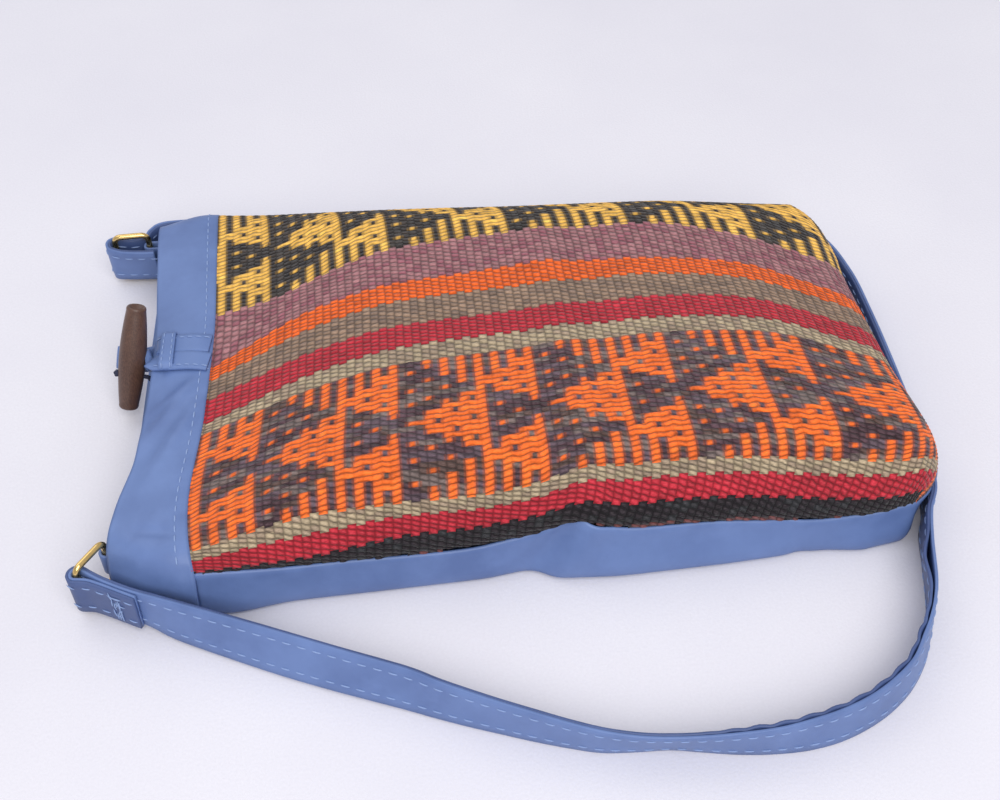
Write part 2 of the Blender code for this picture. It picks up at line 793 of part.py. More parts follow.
def loop_stations():
    """Two flat legs on the band, and a ring round the toggle between them, stood on its edge."""
    ring_radius = TOGGLE_RADIUS + LOOP_CLEARANCE + LOOP_STRIP_THICKNESS / 2.0
    centre = TOGGLE_CENTRE + TOGGLE_AXIS * LOOP_RISE
    out = -cord_hole_direction()
    side = TOGGLE_AXIS.cross(out).normalized()
    if side.y < 0.0:
        side = -side
    turns = []
    for step in range(11):
        turn = math.radians(98.0 - 196.0 * step / 10.0)
        place = centre + side * (ring_radius * math.sin(turn)) + out * (ring_radius * math.cos(turn))
        turns.append((place, TOGGLE_AXIS.copy()))
    for direction, end in ((-1.0, len(turns)), (1.0, 0)):
        away = centre + side * (direction * (ring_radius + 0.0015)) - out * 0.0053
        away.z += 0.0022
        half_turned = (TOGGLE_AXIS + Vector((0.0, direction, 0.0))).normalized()
        turns.insert(end, (away, half_turned))
    return leg_stations(1.0) + turns + list(reversed(leg_stations(-1.0)))


def make_loop(material, collection):
    stations = loop_stations()
    points = curve_through([row[0] for row in stations], 3)
    sides = curve_through([row[1] for row in stations], 3)
    mesh = ribbon_mesh("toggle_loop", list(zip(points, sides)), LOOP_STRIP_WIDTH, LOOP_STRIP_THICKNESS)
    return add_object("toggle_loop", mesh, [material], collection)


def make_keeper(material, collection):
    x = MOUTH_X + 0.0075
    share = 1.0 - (x - MOUTH_X - 0.0030) / (BAND_DEPTH - 0.0036)
    y = mix(LOOP_SEAM_Y, LOOP_KEEPER_Y, share)
    strip_top = band_top(x + KEEPER_LENGTH / 2.0, y) + GAP * 2.0 + LOOP_STRIP_THICKNESS + LOOP_LIFT
    shape = bmesh.new()
    bmesh.ops.create_cube(shape, size=1.0)
    size = Vector((KEEPER_LENGTH, 2.0 * LOOP_STRIP_WIDTH, KEEPER_THICKNESS))
    bmesh.ops.scale(shape, verts=shape.verts, vec=size)
    mesh = bpy.data.meshes.new("loop_keeper")
    shape.to_mesh(mesh)
    shape.free()
    obj = add_object("loop_keeper", mesh, [material], collection)
    obj.location = (x, y, strip_top + GAP + KEEPER_THICKNESS / 2.0)
    bevel = obj.modifiers.new("Round", "BEVEL")
    bevel.width = KEEPER_THICKNESS * 0.3
    bevel.segments = 1
    return obj


def main():
    clear_scene()
    parts = bpy.data.collections.new("kilim_crossbody_bag")
    cutters = bpy.data.collections.new("cutters")
    bpy.context.scene.collection.children.link(parts)
    bpy.context.scene.collection.children.link(cutters)
    leather = make_material("blue_leather", (0.156, 0.246, 0.527), 0.50)
    cloth = make_material("lining_cloth", (0.180, 0.160, 0.150), 0.90)
    brass = make_material("brass", (0.720, 0.470, 0.140), 0.25, 1.0)
    wood = make_material("dark_wood", (0.090, 0.045, 0.030), 0.60)
    cord = make_material("dark_cord", (0.020, 0.018, 0.018), 0.80)
    make_kilim(parts)
    make_gusset(leather, parts)
    make_rear_panel(leather, parts)
    make_band(leather, parts)
    make_lining(cloth, parts)
    make_ring("ring_near", NEAR_RING, brass, parts)
    make_ring("ring_far", FAR_RING, brass, parts)
    make_tab("ring_tab_near", NEAR_RING, (1.0, 0.0, 0.0), leather, parts)
    make_tab("ring_tab_far", FAR_RING, (1.0, 0.0, 0.0), leather, parts)
    make_strap(leather, parts)
    make_toggle(wood, parts, cutters)
    make_toggle_cord(cord, parts)
    make_loop(leather, parts)
    make_keeper(leather, parts)


main()
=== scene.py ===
"""Studio view of a kilim crossbody bag lying on its back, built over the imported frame. Metres, +Z up."""
import math

import bmesh
import bpy
import numpy as np
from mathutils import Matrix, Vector


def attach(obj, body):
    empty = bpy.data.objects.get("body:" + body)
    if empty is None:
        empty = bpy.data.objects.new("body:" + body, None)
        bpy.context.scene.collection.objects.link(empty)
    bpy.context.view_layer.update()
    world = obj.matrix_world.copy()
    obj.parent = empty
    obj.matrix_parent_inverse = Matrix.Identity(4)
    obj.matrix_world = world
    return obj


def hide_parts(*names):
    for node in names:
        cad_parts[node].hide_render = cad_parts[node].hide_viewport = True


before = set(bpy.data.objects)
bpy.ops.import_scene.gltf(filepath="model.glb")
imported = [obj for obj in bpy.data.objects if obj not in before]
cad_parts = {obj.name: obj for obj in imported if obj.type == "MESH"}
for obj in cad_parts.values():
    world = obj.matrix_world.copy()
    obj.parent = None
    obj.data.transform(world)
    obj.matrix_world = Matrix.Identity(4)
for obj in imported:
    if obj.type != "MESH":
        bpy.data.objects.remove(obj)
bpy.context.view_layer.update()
rng = np.random.default_rng(7)

# Sizes of the small parts and of the weave; an inset is a share of the width, from the middle
STRAP_WIDTH = 0.0196
STRAP_LAYER = 0.00108
STRAP_STITCH, STRAP_STITCH_PITCH = 0.0040, 0.0058
STRAP_INSET = 0.30
BAND_LEATHER = 0.0017
BAND_STITCH, BAND_STITCH_PITCH = 0.0033, 0.0045
GUSSET_LEATHER = 0.0011
TAB_WIDTH = 0.0110
TAB_LEATHER = 0.0011
LOOP_WIDTH, LOOP_LEATHER = 0.0098, 0.0013
KEEPER_LENGTH, KEEPER_LEATHER = 0.0058, 0.0009
THREAD_RADIUS, FINE_THREAD_RADIUS = 0.00026, 0.00024
THREAD_LIFT = 0.00012
CORD_RADIUS = 0.0009
KNOT_RADIUS = 0.0015
WIRE = 0.0013
TOGGLE_AXIS = Vector((0.200, 0.434, 0.878)).normalized()
TOGGLE_CENTRE = Vector((-0.1569, 0.0234, 0.0258))
COLUMN_PITCH = 0.003325
ROW_PITCH = 0.00235
WEAVE_ROWS = 102
RELIEF = 0.00040


# Small helpers

def table(rows, sigma):
    """A smooth function of x through given (x, value) pairs, softened over sigma metres."""
    xs = np.array([row[0] for row in rows])
    ys = np.array([row[1] for row in rows])
    grid = np.linspace(xs[0] - 6 * sigma, xs[-1] + 6 * sigma, 1200)
    values = np.interp(grid, xs, ys)
    first = (ys[1] - ys[0]) / (xs[1] - xs[0])
    last = (ys[-1] - ys[-2]) / (xs[-1] - xs[-2])
    values = np.where(grid < xs[0], ys[0] + first * (grid - xs[0]), values)
    values = np.where(grid > xs[-1], ys[-1] + last * (grid - xs[-1]), values)
    step = grid[1] - grid[0]
    reach = int(4 * sigma / step) + 1
    kernel = np.exp(-0.5 * (np.arange(-reach, reach + 1) * step / sigma) ** 2)
    kernel /= kernel.sum()
    before = values[0] + first * step * np.arange(-reach, 0)
    after = values[-1] + last * step * np.arange(1, reach + 1)
    soft = np.convolve(np.concatenate([before, values, after]), kernel, mode="valid")
    return lambda x: np.interp(x, grid, soft)


def smooth(value):
    value = np.clip(value, 0.0, 1.0)
    return value * value * (3.0 - 2.0 * value)


def quarter(q):
    inner = 1.0 - np.clip(q, 0.0, 1.0)
    return np.sqrt(np.maximum(1.0 - inner * inner, 0.0))


def curve_through(points, steps):
    """Smooth curve (Catmull-Rom) through the rows of an array."""
    points = np.asarray(points, float)
    padded = np.concatenate([points[:1], points, points[-1:]])
    out = []
    for i in range(len(points) - 1):
        p0, p1, p2, p3 = padded[i:i + 4]
        for u in np.arange(steps) / steps:
            out.append(0.5 * (2 * p1 + (p2 - p0) * u + (2 * p0 - 5 * p1 + 4 * p2 - p3) * u * u
                              + (3 * p1 - 3 * p2 + p3 - p0) * u ** 3))
    out.append(points[-1])
    return np.array(out)


def unit(vectors):
    return vectors / np.maximum(np.linalg.norm(vectors, axis=-1, keepdims=True), 1e-12)


def running(points):
    """Length from the first point to each point of a line."""
    return np.concatenate([[0.0], np.cumsum(np.linalg.norm(np.diff(points, axis=0), axis=1))])


def soften(values, size):
    """Moving average down the columns of an array, with its ends held."""
    kernel = np.hanning(size)
    kernel /= kernel.sum()
    padded = np.pad(values, ((size // 2, size // 2), (0, 0)), mode="edge")
    return np.apply_along_axis(lambda column: np.convolve(column, kernel, mode="valid"), 0, padded)


def grid_normals(points):
    return unit(np.cross(np.gradient(points, axis=0), np.gradient(points, axis=1)))


def mesh_object(name, verts, faces, material):
    mesh = bpy.data.meshes.new(name)
    mesh.from_pydata([tuple(v) for v in verts], [], [tuple(f) for f in faces])
    mesh.materials.append(material)
    mesh.polygons.foreach_set("use_smooth", [True] * len(mesh.polygons))
    mesh.update()
    obj = bpy.data.objects.new(name, mesh)
    bpy.context.scene.collection.objects.link(obj)
    return obj


def grid_faces(rows, columns, closed=False):
    across = columns if closed else columns - 1
    i, j = np.meshgrid(np.arange(rows - 1), np.arange(across), indexing="ij")
    k = (j + 1) % columns
    here, ahead = i * columns, (i + 1) * columns
    return np.stack([here + j, ahead + j, ahead + k, here + k], -1).reshape(-1, 4)


def ring_faces(count, size, capped=True):
    """Faces of a tube of count rings, with a cap at each end unless it closes on itself."""
    faces = [tuple(f) for f in grid_faces(count, size, closed=True)]
    if capped:
        faces += [tuple(range(size)), tuple(reversed(range((count - 1) * size, count * size)))]
    return faces


def grid_object(name, points, material, closed=False):
    return mesh_object(name, points.reshape(-1, 3), grid_faces(*points.shape[:2], closed), material)


def solidify(obj, thickness, offset):
    modifier = obj.modifiers.new("Thickness", "SOLIDIFY")
    modifier.thickness = thickness
    modifier.offset = offset
    modifier.use_even_offset = False


def face_outwards(obj, merge=0.0):
    """Turn all faces the same way round, outwards on a closed mesh, after merging doubled points."""
    shape = bmesh.new()
    shape.from_mesh(obj.data)
    if merge:
        bmesh.ops.remove_doubles(shape, verts=shape.verts, dist=merge)
    bmesh.ops.recalc_face_normals(shape, faces=shape.faces)
    shape.to_mesh(obj.data)
    shape.free()


def ribbon(name, centres, sides, width, thickness, material, crown=0.0):
    """Strip with rounded edges through centres, its width along sides."""
    along = unit(np.gradient(centres, axis=0))
    across = unit(sides - along * (sides * along).sum(1, keepdims=True))
    normal = np.cross(along, across)
    w, h = width / 2.0, thickness / 2.0
    r = h * 0.9
    section = [(-w + r * 0.4, h), (-w * 0.66, h + crown), (0.0, h + crown * 1.4), (w * 0.66, h + crown),
               (w - r * 0.4, h), (w - r * 0.1, h * 0.6), (w, 0.0), (w - r * 0.1, -h * 0.6),
               (w - r * 0.4, -h), (w * 0.66, -h), (0.0, -h), (-w * 0.66, -h), (-w + r * 0.4, -h),
               (-w + r * 0.1, -h * 0.6), (-w, 0.0), (-w + r * 0.1, h * 0.6)]
    rings = np.stack([centres + across * a + normal * b for a, b in section], 1)
    obj = mesh_object(name, rings.reshape(-1, 3), ring_faces(*rings.shape[:2]), material)
    face_outwards(obj)
    return obj, across, normal


def tube(name, points, radius, material, closed=False, sides=14):
    points = np.asarray(points, float)
    if closed:
        along = unit(np.roll(points, -1, 0) - np.roll(points, 1, 0))
    else:
        along = unit(np.gradient(points, axis=0))
    side = np.cross(along[0], [0.13, 0.41, 0.9])
    rings = []
    for point, direction in zip(points, along):
        side = unit(side - direction * side.dot(direction))
        other = np.cross(direction, side)
        turn = np.linspace(0, 2 * math.pi, sides, endpoint=False)
        rings.append(point + radius * (np.cos(turn)[:, None] * side + np.sin(turn)[:, None] * other))
    rings = np.array(rings)
    if closed:
        # the frame turns round a closed loop, so the last ring is joined to the nearest place on the first
        shift = int(np.argmin([np.linalg.norm(np.roll(rings[0], -k, 0) - rings[-1]) for k in range(sides)]))
        rings = np.concatenate([rings, np.roll(rings[0], -shift, 0)[None]])
    obj = mesh_object(name, rings.reshape(-1, 3), ring_faces(len(rings), sides, not closed), material)
    face_outwards(obj, merge=0.000005)
    return obj


def stitches(name, places, length, radius=THREAD_RADIUS):
    """One thread dash at each (centre, direction, surface normal), all in one mesh."""
    around, rings = 6, 5
    verts, faces = [], []
    for centre, direction, normal in places:
        centre, direction, normal = (np.asarray(v, float) for v in (centre, direction, normal))
        direction = direction / np.linalg.norm(direction)
        normal = normal - direction * normal.dot(direction)
        normal /= np.linalg.norm(normal)
        side = np.cross(direction, normal)
        base = len(verts)
        for k in range(rings):
            share = -1.0 + 2.0 * k / (rings - 1)
            size = radius * math.sqrt(max(1.0 - share ** 4, 0.03))
            sink = THREAD_LIFT - abs(share) ** 3 * radius * 0.9
            middle = centre + direction * (share * length / 2.0) + normal * sink
            for m in range(around):
                a = 2 * math.pi * m / around
                verts.append(middle + side * (math.cos(a) * size * 1.25) + normal * (math.sin(a) * size))
        for k in range(rings - 1):
            for m in range(around):
                n = (m + 1) % around
                faces.append((base + k * around + m, base + k * around + n,
                              base + (k + 1) * around + n, base + (k + 1) * around + m))
        faces.append(tuple(base + m for m in reversed(range(around))))
        faces.append(tuple(base + (rings - 1) * around + m for m in range(around)))
    return mesh_object(name, verts, faces, THREAD)


def along_line(points, normals, pitch, jitter):
    """Evenly spaced (centre, direction, normal) along a line of points."""
    run = running(points)

    def between(values, at):
        return np.array([np.interp(at, run, values[:, k]) for k in range(3)])

    reach = 0.0006
    places = []
    for at in np.arange(pitch / 2, run[-1], pitch):
        at += rng.normal(0, jitter)
        direction = between(points, at + reach) - between(points, at - reach)
        places.append((between(points, at), direction, between(normals, at)))
    return places


# Materials

class Shader:
    """A Principled material with small helpers for its node tree."""

    def __init__(self, name, color, roughness, metallic=0.0):
        self.material = bpy.data.materials.new(name)
        self.material.use_nodes = True
        self.tree = self.material.node_tree
        self.shader = self.tree.nodes["Principled BSDF"]
        self.shader.inputs["Base Color"].default_value = (*color, 1.0)
        self.shader.inputs["Roughness"].default_value = roughness
        self.shader.inputs["Metallic"].default_value = metallic
        self.material.diffuse_color = (*color, 1.0)

    def node(self, kind, **values):
        node = self.tree.nodes.new(kind)
        for key, value in values.items():
            if key in node.inputs:
                node.inputs[key].default_value = value
            else:
                setattr(node, key, value)
        return node

    def link(self, a, b):
        self.tree.links.new(a, b)

    def math(self, operation, a, b=None):
        node = self.node("ShaderNodeMath", operation=operation)
        for socket, value in zip(node.inputs, (a, b)):
            if value is None:
                continue
            if isinstance(value, (int, float)):
                socket.default_value = value
            else:
                self.link(value, socket)
        return node.outputs[0]

    def times(self, a, b):
        return self.math("MULTIPLY", a, b)

    def plus(self, a, b):
        return self.math("ADD", a, b)

    def minus(self, a, b):
        return self.math("SUBTRACT", a, b)

    def paint(self, color):
        self.link(color, self.shader.inputs["Base Color"])

    def noise(self, scale, detail=3.0, coordinate=None, roughness=0.55):
        node = self.node("ShaderNodeTexNoise", Scale=scale, Detail=detail, Roughness=roughness)
        if coordinate is None:
            coordinate = self.node("ShaderNodeTexCoord").outputs["Object"]
        self.link(coordinate, node.inputs["Vector"])
        return node.outputs["Fac"]

    def mix(self, factor, a, b):
        node = self.node("ShaderNodeMix", data_type="RGBA")
        for socket, value in ((node.inputs[0], factor), (node.inputs[6], a), (node.inputs[7], b)):
            if isinstance(value, (int, float)):
                socket.default_value = value
            elif isinstance(value, tuple):
                socket.default_value = (*value, 1.0)
            else:
                self.link(value, socket)
        return node.outputs[2]

    def bump(self, height, strength, distance):
        node = self.node("ShaderNodeBump", Strength=strength, Distance=distance)
        self.link(height, node.inputs["Height"])
        self.link(node.outputs["Normal"], self.shader.inputs["Normal"])


def ramp(shader, value, low, high, to_low=0.0, to_high=1.0):
    limits = {"From Min": low, "From Max": high, "To Min": to_low, "To Max": to_high}
    node = shader.node("ShaderNodeMapRange", **limits)
    shader.link(value, node.inputs["Value"])
    return node.outputs[0]


def leather_material(name, color=(0.134, 0.212, 0.450), dark=(0.098, 0.160, 0.365)):
    s = Shader(name, color, 0.46)
    cloud = s.noise(28.0, 4.0)
    grain = s.noise(1500.0, 2.0)
    soft = s.noise(90.0, 3.0)
    tone = s.mix(ramp(s, cloud, 0.34, 0.62), dark, color)
    light = tuple(min(c * 1.12 + 0.008, 1.0) for c in color)
    s.paint(s.mix(ramp(s, soft, 0.45, 0.80, 0.0, 0.5), tone, light))
    s.link(ramp(s, cloud, 0.2, 0.8, 0.40, 0.54), s.shader.inputs["Roughness"])
    height = s.plus(s.times(grain, 0.30), s.times(soft, 0.9))
    s.bump(height, 0.22, 0.0006)
    return s.material


def thread_material():
    return Shader("thread", (0.25, 0.35, 0.60), 0.62).material


def brass_material():
    s = Shader("polished_brass", (0.80, 0.56, 0.22), 0.18, 1.0)
    s.link(ramp(s, s.noise(420.0, 3.0), 0.3, 0.7, 0.14, 0.30), s.shader.inputs["Roughness"])
    return s.material


def wood_material():
    s = Shader("dark_wood", (0.115, 0.060, 0.042), 0.38)
    coordinate = s.node("ShaderNodeTexCoord").outputs["Object"]
    mapping = s.node("ShaderNodeMapping")
    mapping.inputs["Scale"].default_value = (1.0, 1.0, 0.05)
    s.link(coordinate, mapping.inputs["Vector"])
    streak = s.noise(2400.0, 3.0, mapping.outputs["Vector"])
    cloud = s.noise(110.0, 2.0, coordinate)
    tone = s.mix(ramp(s, streak, 0.3, 0.7), (0.055, 0.028, 0.021), (0.125, 0.064, 0.045))
    s.paint(s.mix(ramp(s, cloud, 0.35, 0.7, 0.0, 0.4), tone, (0.150, 0.080, 0.056)))
    s.bump(streak, 0.15, 0.0002)
    return s.material


def cloth_material(name, color):
    s = Shader(name, color, 0.92)
    fine = s.noise(1400.0, 2.0)
    dark, light = (tuple(min(c * share, 1.0) for c in color) for share in (0.8, 1.1))
    s.paint(s.mix(fine, dark, light))
    s.bump(fine, 0.3, 0.0003)
    return s.material


def floor_material():
    s = Shader("pale_cloth", (0.79, 0.78, 0.84), 0.95)
    coordinate = s.node("ShaderNodeTexCoord").outputs["Object"]
    fibre = s.noise(900.0, 3.0, coordinate)
    cloud = s.noise(6.0, 4.0, coordinate)
    tone = s.mix(ramp(s, cloud, 0.3, 0.7), (0.755, 0.742, 0.810), (0.820, 0.808, 0.862))
    s.paint(s.mix(ramp(s, fibre, 0.3, 0.7, 0.0, 0.35), tone, (0.70, 0.688, 0.75)))
    s.bump(fibre, 0.30, 0.0004)
    return s.material


def kilim_material():
    """Wool: each cell's colour from the mesh, its float, its gaps and its fibres from the UV map, with
    painted shade in the gaps and a painted highlight on the floats' tops.
    """
    s = Shader("woven_wool", (0.3, 0.1, 0.08), 0.9)
    s.shader.inputs["Sheen Weight"].default_value = 0.15
    s.shader.inputs["Sheen Roughness"].default_value = 0.5
    s.shader.inputs["Specular IOR Level"].default_value = 0.30
    color = s.node("ShaderNodeAttribute", attribute_name="weave").outputs["Color"]
    plain = s.node("ShaderNodeAttribute", attribute_name="plain").outputs["Fac"]
    uv = s.node("ShaderNodeUVMap", uv_map="UVMap").outputs["UV"]
    parts = s.node("ShaderNodeSeparateXYZ")
    s.link(uv, parts.inputs[0])
    u, v = parts.outputs[0], parts.outputs[1]
    warp = s.noise(0.8, 2.0, uv)
    wander = s.times(s.minus(warp, 0.5), 0.80)
    fu = s.math("FRACT", u)
    centred = s.minus(s.times(fu, 2.0), 1.0)
    odd = s.math("GREATER_THAN", s.math("FRACT", s.times(u, 0.5)), 0.5)
    slant = ramp(s, v, 10.0, 45.0, 0.30, 0.12)
    step = s.plus(s.times(odd, 0.5), s.times(centred, slant))
    wave = s.times(s.math("SINE", s.times(s.plus(u, 0.5), math.pi)), -0.11)
    shift = s.plus(s.times(step, plain), s.times(wave, s.minus(1.0, plain)))
    course = s.plus(s.plus(v, shift), wander)
    fv = s.math("FRACT", course)
    row = s.math("POWER", s.math("SINE", s.times(fv, math.pi)), 0.75)
    pinch = s.math("POWER", s.math("ABSOLUTE", centred), 3.0)
    depth = s.plus(0.28, s.times(plain, 0.42))
    height = s.times(row, s.minus(1.0, s.times(pinch, depth)))
    stretched = s.node("ShaderNodeMapping")
    stretched.inputs["Scale"].default_value = (1.3, 4.5, 1.0)
    s.link(uv, stretched.inputs["Vector"])
    fibre = s.noise(1.7, 3.0, stretched.outputs["Vector"])
    broad = s.noise(0.22, 2.0, uv)
    # painted shade: the colour darkens where the float's height falls, in the gaps between floats and rows;
    # the fibre and broad noise add random tone
    shade = ramp(s, height, 0.05, 0.85, 0.45, 1.09)
    shade = s.times(shade, ramp(s, fibre, 0.3, 0.7, 0.80, 1.14))
    shade = s.times(shade, ramp(s, broad, 0.3, 0.7, 0.90, 1.08))
    scale = s.node("ShaderNodeVectorMath", operation="SCALE")
    s.link(color, scale.inputs[0])
    s.link(shade, scale.inputs["Scale"])
    # painted highlight: the tops of the floats are mixed towards a lighter copy of the cell's colour
    tip = s.times(ramp(s, height, 0.60, 1.0), ramp(s, fibre, 0.40, 0.62, 0.10, 1.0))
    tip = s.times(tip, s.plus(0.30, s.times(plain, 0.35)))
    # the lighter copy of the cell's colour used for the painted highlight
    bright = s.node("ShaderNodeVectorMath", operation="MULTIPLY_ADD")
    bright.inputs[1].default_value = (1.35, 1.35, 1.35)
    bright.inputs[2].default_value = (0.060, 0.052, 0.054)
    s.link(color, bright.inputs[0])
    s.paint(s.mix(tip, scale.outputs[0], bright.outputs[0]))
    full = s.plus(height, s.times(fibre, 0.25))
    s.bump(full, 0.85, 0.0008)
    return s.material


LEATHER = leather_material("blue_leather")
# darker copy of the blue leather: painted shade for the strap's inner layer
LEATHER_PAINTED_SHADE = leather_material("blue_leather_painted_shade", (0.070, 0.112, 0.270), (0.045, 0.075, 0.195))
THREAD = thread_material()
BRASS = brass_material()
WOOD = wood_material()
DARK_CORD = cloth_material("dark_cord", (0.03, 0.035, 0.07))
LINING = cloth_material("lining_cloth", (0.10, 0.09, 0.08))
KILIM = kilim_material()


# The filled shape of the front panel, in metres: how it slumps is set from the photograph

SEAM_NEAR_Y = table((
    (-0.1246, -0.0866), (-0.0895, -0.0832), (-0.0564, -0.0812), (-0.0197, -0.0785),
    (0.0000, -0.0765), (0.0105, -0.0770), (0.0165, -0.0784), (0.0260, -0.0790),
    (0.0376, -0.0793), (0.0717, -0.0773), (0.1128, -0.0750), (0.1368, -0.0736),
    (0.1500, -0.0705)), 0.004)
SEAM_NEAR_Z = table((
    (-0.1246, 0.0230), (-0.0895, 0.0195), (-0.0564, 0.0180), (-0.0197, 0.0178),
    (0.0000, 0.0205), (0.0105, 0.0265), (0.0165, 0.0310), (0.0220, 0.0290), (0.0300, 0.0265),
    (0.0376, 0.0250), (0.0717, 0.0230), (0.1128, 0.0175), (0.1368, 0.0170),
    (0.1500, 0.0180)), 0.003)
FAR_Y = table((
    (-0.1300, 0.1115), (-0.0680, 0.1060), (0.0000, 0.1025), (0.0500, 0.1020), (0.0750, 0.1015),
    (0.0940, 0.0990), (0.1270, 0.0945), (0.1500, 0.0900)), 0.008)
END_X = table((
    (-0.0705, 0.1505), (-0.0690, 0.1530), (-0.0640, 0.1585), (-0.0550, 0.1625), (-0.0470, 0.1628),
    (-0.0310, 0.1588), (-0.0170, 0.1555), (-0.0060, 0.1540), (0.0130, 0.1517), (0.0280, 0.1500),
    (0.0380, 0.1490), (0.0555, 0.1490), (0.0720, 0.1470), (0.0800, 0.1445), (0.0870, 0.1380),
    (0.0900, 0.1330), (0.0948, 0.1240)), 0.003)
SEAM_X = table((
    (-0.0870, -0.1246), (-0.0750, -0.1268), (-0.0640, -0.1280), (-0.0510, -0.1278), (-0.0200, -0.1242),
    (0.0320, -0.1230), (0.1120, -0.1272)), 0.008)
CROWN = table((
    (-0.1300, 0.0310), (-0.1200, 0.0320), (-0.1000, 0.0360), (-0.0800, 0.0410), (-0.0550, 0.0450),
    (-0.0200, 0.0465), (0.0500, 0.0470), (0.1000, 0.0470), (0.1600, 0.0450)), 0.010)
NEAR_ROLL = table((
    (-0.1300, 0.010), (-0.1000, 0.024), (-0.0500, 0.042), (0.0500, 0.045), (0.1600, 0.042)), 0.010)
FAR_ROLL = table((
    (-0.1300, 0.008), (-0.1000, 0.016), (-0.0600, 0.024), (0.0500, 0.026), (0.1600, 0.026)), 0.010)
FAR_Z = table(((-0.1300, 0.0255), (-0.0900, 0.0220), (-0.0400, 0.0190), (0.1600, 0.0180)), 0.010)
END_Z = 0.0200
END_ROLL = 0.018
ACROSS_LOW, ACROSS_HIGH = -0.0705, 0.0948


def panel_plan(s, t):
    """Plan position of the front panel: s runs from the mouth to the bottom end, t from near to far."""
    y_end = ACROSS_LOW + (ACROSS_HIGH - ACROSS_LOW) * t
    along = 1.0 - (1.0 - s) ** 1.3
    x0 = SEAM_X(-0.087 + 0.199 * t)
    x_end = END_X(y_end)
    x = x0 + (x_end - x0) * along
    low, high = SEAM_NEAR_Y(x), FAR_Y(x)
    end_low, end_high = SEAM_NEAR_Y(x_end), FAR_Y(x_end)
    t_end = np.clip((y_end - end_low) / (end_high - end_low), 0.0, 1.0)
    return x, low + (high - low) * (t + (t_end - t) * smooth((along - 0.80) / 0.20))


def panel_height(x, y):
    low, high = SEAM_NEAR_Y(x), FAR_Y(x)
    middle, half = 0.5 * (low + high), 0.5 * (high - low)
    crown = CROWN(x) * (0.93 + 0.07 * (1.0 - ((y - middle) / half) ** 2))
    from_near = np.maximum(y - low, 0.0)
    from_far = np.maximum(high - y, 0.0)
    from_end = np.maximum(END_X(np.clip(y, ACROSS_LOW, ACROSS_HIGH)) - x, 0.0)
    shares = (SEAM_NEAR_Z(x) / crown, FAR_Z(x) / crown, END_Z / crown)
    rolls = (NEAR_ROLL(x), FAR_ROLL(x), END_ROLL + 0.0 * x)
    distances = (from_near, from_far, from_end)
    weights = [np.exp(-d / 0.008) for d in distances]
    total = sum(weights)
    share = sum(w * v for w, v in zip(weights, shares)) / total
    radius = sum(w * v for w, v in zip(weights, rolls)) / total
    distance = np.minimum(np.minimum(from_near, from_far), from_end)
    return crown * (share + (1.0 - share) * quarter(distance / radius))


def panel(s, t):
    x, y = panel_plan(s, t)
    return np.stack([x, y, panel_height(x, y)], -1)


# Kilim: rows of floats run along the bag, in columns across it

# Arc distance of each stripe's border from the near seam at stations along x, both in millimetres
NEAR_STATIONS = (-115, -85, -50, -10, 15, 50, 95, 125, 146)
MIDDLE_STATIONS = (-115, -85, -54, -20, 15, 50, 91, 107, 122, 133, 150)
FAR_STATIONS = (-115, -97, -75, -54, -20, 15, 50, 74, 91, 107, 122, 133, 150)
BORDERS = (
    (5, NEAR_STATIONS, (2, 4, 10.4, 10, 8.5, 12.3, 12, 10.1, 7.5)),
    (9, NEAR_STATIONS, (7.6, 13.2, 17.9, 16.8, 16.2, 21.8, 21.4, 20.4, 18.5)),
    (12, NEAR_STATIONS, (12.4, 20.7, 22.8, 22.1, 21.9, 27.8, 27.3, 26.4, 24.4)),
    (39, MIDDLE_STATIONS, (66.5, 77.5, 85.1, 86.3, 83.4, 89.2, 89, 87.5, 82, 76, 68)),
    (43, MIDDLE_STATIONS, (72.8, 86, 94.5, 96.6, 93, 98.8, 97.9, 95.6, 89.5, 83, 74.5)),
    (49, MIDDLE_STATIONS, (85.2, 98.2, 107, 108.2, 105.4, 111.3, 110.2, 106.5, 99.8, 93, 84)),
    (55, MIDDLE_STATIONS, (96, 112, 121.4, 123, 119.3, 125.6, 122.4, 118.7, 111, 104, 94.5)),
    (60, MIDDLE_STATIONS, (104, 123, 132.6, 134.4, 133.2, 135.9, 132.3, 128.4, 119.5, 112, 102)),
    (69, FAR_STATIONS, (131.8, 134.3, 146, 155.2, 157.5, 155.1, 159.1, 157.9, 152.5, 147.5, 139, 131.5, 121)),
)
PLAIN = {"black": (0.0140, 0.0095, 0.0130), "red": (0.470, 0.020, 0.036), "beige": (0.415, 0.325, 0.210),
         "olive": (0.290, 0.190, 0.130), "orange": (0.790, 0.118, 0.010), "mauve": (0.335, 0.150, 0.160)}
VARIANTS = {"mauve": (0.35, (0.290, 0.100, 0.125)), "olive": (0.30, (0.225, 0.150, 0.110)),
            "beige": (0.35, (0.330, 0.245, 0.170)), "black": (0.15, (0.022, 0.023, 0.026))}
SEAM_RED = (0.150, 0.050, 0.048)
MOTIF_ORANGE = (0.95, 0.165, 0.022)
GOLD = (0.860, 0.485, 0.090)
DARKS = ((0.085, 0.044, 0.056), (0.098, 0.057, 0.048), (0.165, 0.122, 0.112), (0.066, 0.032, 0.040),
         (0.112, 0.073, 0.092))
BLACKS = ((0.024, 0.019, 0.017), (0.040, 0.031, 0.026), (0.017, 0.014, 0.015))
PERIOD = 16
MOTIF_ROWS = 27
FIRST_EDGE = 0.0248


